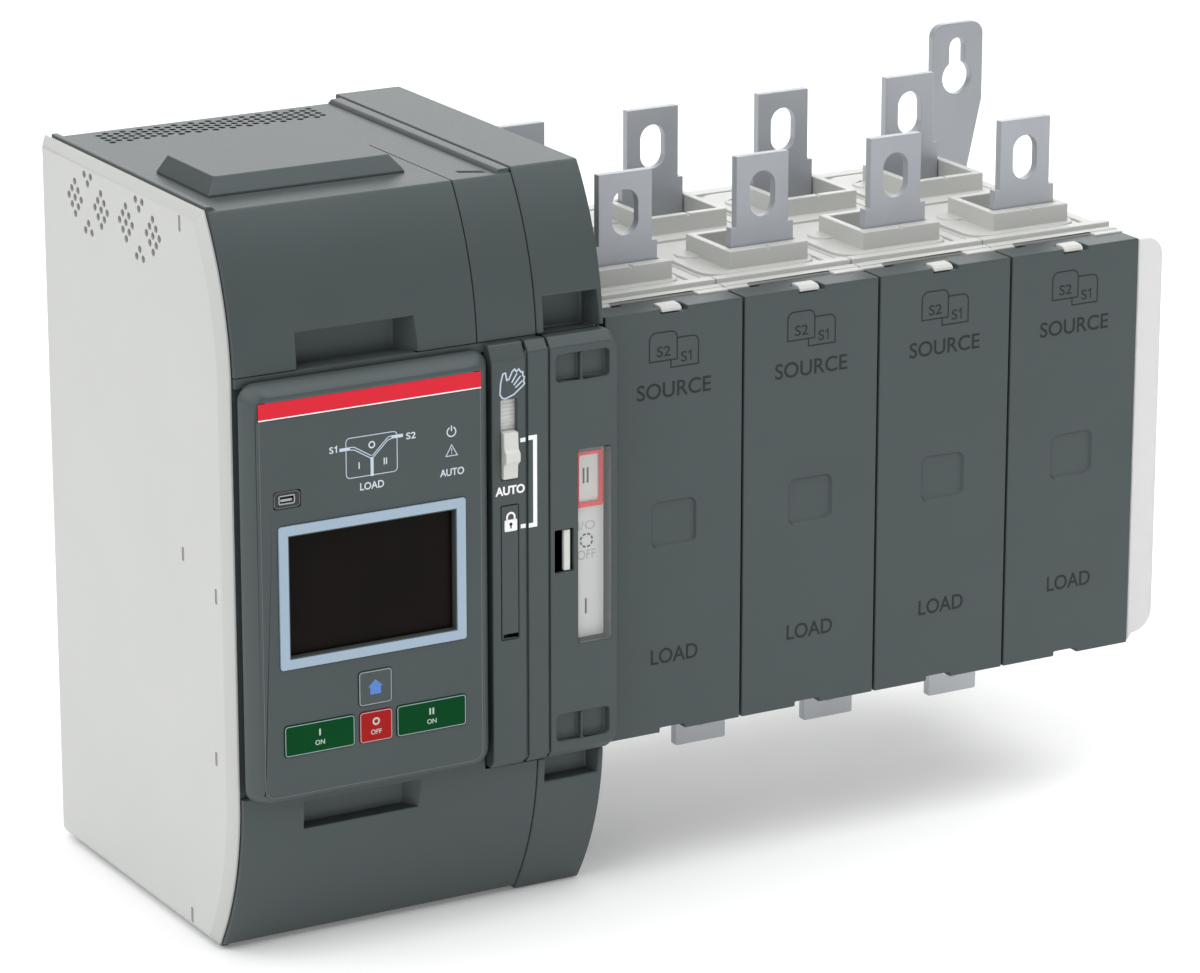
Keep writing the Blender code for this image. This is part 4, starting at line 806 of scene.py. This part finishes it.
def controls():
    x0, x1, face, back, z0, z1 = extent("selector_panel")
    knob_slot, tab = (-53.1, -46.0, 122.9, 155.6), extent("lock_tab")
    tab_box = grown(front_of(tab), OPENING_MARGIN)
    hollow = block(-55.5, -43.9, face + 2.2, back + 1, 48.0, 166.0)
    openings = [prism("Y", rounded(*box, 0.5, 3), face - 1, face + 4) for box in (knob_slot, tab_box)]
    piece("selector_body", DARK, upright(x0, x1, z0, z1, 5.6, 171.6), cuts=[[hollow], openings], edge=0.6,
          segments=3, nodes=["selector_panel"], sharp=25.0)
    x0, x1, y0, y1, z0, z1 = extent("selector_track")
    ribs = [block(x0 - 1, x1 + 1, y0 - 1, y0 + 0.2, z0 + 1.5 + 1.6 * step, z0 + 2.1 + 1.6 * step)
            for step in range(26)]
    piece("selector_backing", SCALE, block(x0, x1, y0, y1, z0, z1), cuts=[ribs], edge=0.1,
          nodes=["selector_track"])
    x0, x1, y0, y1, z0, z1 = extent("selector_knob")
    middle = (z0 + z1) / 2
    outline = [(y1, z0), (y1 - 3.2, z0), (y1 - 3.6, z0 + 0.5), (y1 - 3.8, middle - 4.4),
               (y1 - 4.6, middle - 3.2), (y1 - 5.7, middle - 2.4), (y1 - 6.0, middle - 1.4),
               (y1 - 6.0, middle + 0.8), (y1 - 5.6, middle + 1.8), (y1 - 4.7, middle + 2.4),
               (y1 - 4.3, middle + 3.4), (y1 - 4.0, z1 - 0.6), (y1 - 3.4, z1), (y1, z1)]
    piece("knob", KNOB, prism("X", outline, x0, x1), edge=0.4, segments=3, body="selector",
          nodes=["selector_knob"])
    x0, x1, y0, y1, z0, z1 = tab
    shackle = rod("X", 3.0, 72.0, 4.0, x0 - 1, x1 + 1)
    nail = block(x0 + 0.6, x1 - 0.5, y0 - 1, y0 + 2.4, z0 + 0.5, z0 + 1.9)
    piece("padlock_tab", DARK, block(x0, x1, y0, y1, z0, z1), cuts=[[shackle, nail]], edge=0.3,
          body="padlock_tab", nodes=["lock_tab"])
    x0, x1, face, back, z0, z1 = extent("centre_strip")
    mark("strip_joints", DARK, [block(x0 - 1.05, x0 - 0.05, face + 1.1, -3.1, 5.0, 174.0),
                                block(x1 + 0.05, x1 + 0.85, face + 1.1, -3.1, 5.0, 174.0)])
    piece("strip", DARK, upright(x0, x1, z0, z1, 5.6, 173.6), edge=0.6, segments=3, nodes=["centre_strip"],
          sharp=25.0)
    y0, y1 = printed(face)
    hand = ribbon(hand_line(HAND), 0.6, y0, y1, closed=True)
    for line in FINGERS:
        hand += ribbon(hand_line(line), 0.6, y0, y1)
    mark("hand_symbol", PALE_PRINT, hand)
    letters("selector_auto", "AUTO", PRINT, -49.3, face, 118.4, 3.7, 13.2, bold=0.035)
    lock = [prism("Y", rounded(-51.8, -46.2, 101.4, 106.2, 0.5, 3), y0, y1)]
    bow = ([(-50.7, 106.0), (-50.7, 107.3)] + arc(-49.0, 107.3, 1.7, 180, 0, 10)[1:-1]
           + [(-47.3, 107.3), (-47.3, 106.0)])
    lock += ribbon(bow, 0.8, y0, y1)
    mark("padlock_symbol", PRINT, lock, "padlock_tab")
    mark("padlock_keyhole", SUNK_SHADE_AND_PRINT, [prism("Y", circle(-49.0, 104.3, 0.7, 12), y0 - 0.02, y1),
                                   block(-49.3, -48.7, y0 - 0.02, y1, 102.6, 104.3)], "padlock_tab")
    lines = [block(-44.6, -42.3, y0, y1, z - 0.85, z + 0.85) for z in (102.7, 138.2)]
    mark("bracket_ticks", PRINT, lines)
    bracket = [(-40.9, 138.6), (-38.0, 138.6), (-38.0, 102.5), (-40.9, 102.5)]
    mark("bracket", PRINT, ribbon(bracket, 1.8, y0, y1))


def right_rounded(left, right, low, high, radius, steps=6):
    """Outline with its two right corners rounded."""
    return ([(left, low)] + arc(right - radius, low + radius, radius, 270, 360, steps)
            + arc(right - radius, high - radius, radius, 0, 90, steps) + [(left, high)])


RECESSES = ((9.6, 20.2), (159.6, 170.1))


def indicator():
    x0, x1, face, back, z0, z1 = extent("indicator_frame")
    window, latch = extent("indicator_window"), (-29.0, -20.4, 80.5, 98.3)
    hollow = block(-29.8, -1.8, face + 2.2, back + 1, 24.0, 154.0)
    recesses = [loft("Y", (face - 1, rounded(-28.5, -3.8, b0 - 0.6, b1 + 0.6, 2.0, 6)),
                     (face + 3.4, rounded(-27.9, -4.4, b0, b1, 1.6, 6))) for b0, b1 in RECESSES]
    ribs = [block(-16.9, -15.9, face + 0.7, face + 4, b0 - 2, b1 + 2) for b0, b1 in RECESSES]
    openings = [prism("Y", outline, face - 1, face + 4)
                for outline in (rounded(*grown(front_of(window), 0.2), 0.8, 4), rounded(*latch, 0.4, 3))]
    whole = right_rounded(x0, x1, z0, z1, 4.5)
    body = loft("Y", (back, whole), (face + 3.0, whole), (face, right_rounded(x0, x1, 5.6, 173.6, 4.5)))
    thing = raw("indicator_body", [body])
    combine(thing, "DIFFERENCE", [hollow])
    combine(thing, "DIFFERENCE", recesses)
    combine(thing, "UNION", ribs)
    combine(thing, "DIFFERENCE", openings)
    soften(thing, 0.5, 3, 25.0)
    shade(thing)
    dress(thing, DARK, nodes=["indicator_frame"])
    # Brown floor of the release pocket, partly its own brown and partly painted light.
    mark("latch_floor", BROWN_AND_PAINTED_LIGHT, [block(-29.6, -19.8, -5.8, -5.3, 79.6, 99.2)])
    mark("latch_pins", KNOB, [block(-28.4, -26.9, -5.9, -5.7, z, z + 2.4) for z in (83.6, 87.4, 92.6)])
    x0, x1, y0, y1, z0, z1 = window
    piece("window", CLEAR, prism("Y", rounded(x0, x1, z0, z1, 0.8, 4), y0, y1), edge=0.2,
          nodes=["indicator_window"])
    x0, x1, y0, y1, z0, z1 = extent("indicator_scale")
    piece("scale_plate", SCALE, block(x0, x1, y0, y1, z0, z1), edge=0.1, nodes=["indicator_scale"])
    front = y0
    y0, y1 = printed(front)
    for name, z, bars in (("scale_ii", 117.5, (-12.9, -11.0)), ("scale_i", 62.8, (-11.9,))):
        mark(name, GREY_PRINT, [block(x - 0.45, x + 0.45, y0, y1, z - 3.2, z + 3.2) for x in bars])
    dashes = []
    for step in range(8):
        dashes += ribbon(arc(-11.6, 90.3, 2.7, step * 45 + 6, step * 45 + 37, 4), 0.8, y0, y1)
    mark("scale_o", GREY_PRINT, dashes)
    letters("scale_off", "OFF", FAINT_PRINT, -11.6, front, 84.4, 4.0, 8.4)
    letters("scale_on", "I/O", FAINT_PRINT, -11.6, front, 96.6, 3.6, 8.0)
    x0, x1, y0, y1, z0, z1 = extent("indicator_marker")
    opening = prism("Y", rounded(x0 + 1.7, x1 - 1.9, z0 + 2.0, z1 - 1.6, 0.8, 4), y0 - 1, y1 + 1)
    piece("marker", MARKER_RED, prism("Y", rounded(x0, x1, z0, z1, 1.2, 5), y0, y1), cuts=[[opening]],
          edge=0.25, body="marker", nodes=["indicator_marker"])
    x0, x1, y0, y1, z0, z1 = extent("release_slider")
    piece("release_bar", KNOB, block(x0, x1, y0, y1, z0, z1), edge=0.4, segments=3, body="release",
          nodes=["release_slider"])


# --------------------------------------------------- nodes kept as they are
def plain_nodes():
    looks = {node: DARK for node in ("front_panel", "hmi_rear_case")}
    looks.update({node: BOARD for node in ("hmi_board", "control_board")})
    looks.update({node: BLACK for node in ("power_supply", "solenoid_source_1", "solenoid_source_2")})
    looks.update({node: STEEL for node in ("mechanism_bracket", "contact_rotor_1", "contact_rotor_2",
                                           "transfer_link", "solenoid_plunger")})
    for node, material in looks.items():
        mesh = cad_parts[node].data
        for index in range(len(mesh.materials)):
            mesh.materials[index] = material
        if not len(mesh.materials):
            mesh.materials.append(material)


# ------------------------------------------------------------------- stage
FLOOR_GAP, FLOOR_REACH = 0.0005, 12.0
SUN_TOWARD = Vector((-0.66, -0.04, 0.75))
CAMERA_PLACE = (-1.042859, -1.893561, 0.624727)
CAMERA_AZIMUTH, CAMERA_ELEVATION = math.radians(-29.804), math.radians(16.913)
LENS, SENSOR = 155.76, 36.0


def stage():
    floor = bpy.data.meshes.new("floor")
    z, reach = CAD_BOX[0].z - FLOOR_GAP, FLOOR_REACH
    corners = [(x, y, z) for x, y in rectangle(-reach, reach, -reach, reach)]
    floor.from_pydata(corners, [], [(0, 1, 2, 3)])
    thing = bpy.data.objects.new("floor", floor)
    bpy.context.scene.collection.objects.link(thing)
    floor.materials.append(surface("floor_paint", (0.9, 0.905, 0.905), 0.8, grain=60.0, bump=0.0,
                                   mottle=0.004, Emission_Strength=0.14))


def area_light(name, location, target, size, power):
    data = bpy.data.lights.new(name, "AREA")
    data.shape = "RECTANGLE"
    data.size, data.size_y = size
    data.energy = power
    thing = bpy.data.objects.new(name, data)
    thing.location = location
    thing.rotation_euler = (Vector(target) - Vector(location)).to_track_quat("-Z", "Y").to_euler()
    bpy.context.scene.collection.objects.link(thing)


def lights_and_camera():
    scene = bpy.context.scene
    scene.view_settings.view_transform = "Standard"
    world = bpy.data.worlds.new("studio")
    scene.world = world
    world.use_nodes = True
    world.node_tree.nodes["Background"].inputs["Color"].default_value = (1.0, 1.0, 1.0, 1.0)
    world.node_tree.nodes["Background"].inputs["Strength"].default_value = 0.46
    sun = bpy.data.lights.new("soft_key", "SUN")
    sun.energy = 1.75
    sun.angle = math.radians(70)
    key = bpy.data.objects.new("soft_key", sun)
    key.rotation_euler = (-SUN_TOWARD).to_track_quat("-Z", "Y").to_euler()
    scene.collection.objects.link(key)
    area_light("back_panel", (1.6, 3.2, 1.4), (0.0, 0.0, 0.05), (3.6, 1.6), 40.0)
    area_light("top_panel", (0.8, -0.4, 1.9), (0.0, 0.0, 0.05), (2.2, 2.2), 29.0)
    area_light("low_fill", (-0.9, -2.4, -0.05), (0.1, 0.0, -0.12), (2.4, 0.5), 0.6)
    camera = bpy.data.cameras.new("camera")
    camera.lens, camera.sensor_width = LENS, SENSOR
    camera.clip_start, camera.clip_end = 0.05, 50.0
    thing = bpy.data.objects.new("camera", camera)
    thing.location = CAMERA_PLACE
    level = math.cos(CAMERA_ELEVATION)
    look = Vector((-math.sin(CAMERA_AZIMUTH) * level, math.cos(CAMERA_AZIMUTH) * level,
                   -math.sin(CAMERA_ELEVATION)))
    thing.rotation_euler = look.to_track_quat("-Z", "Y").to_euler()
    scene.collection.objects.link(thing)
    scene.camera = thing


lights_and_camera()
stage()
base_plate()
for number in range(POLES):
    pole_cover(number)
    pole_housing(number)
    source_terminal(1, number)
    source_terminal(2, number)
    load_terminal(number)
end_plate()
side_panel()
module_covers()
raised_cover()
top_details()
operator_panel()
screen()
keys()
panel_prints()
usb_socket()
controls()
indicator()
plain_nodes()
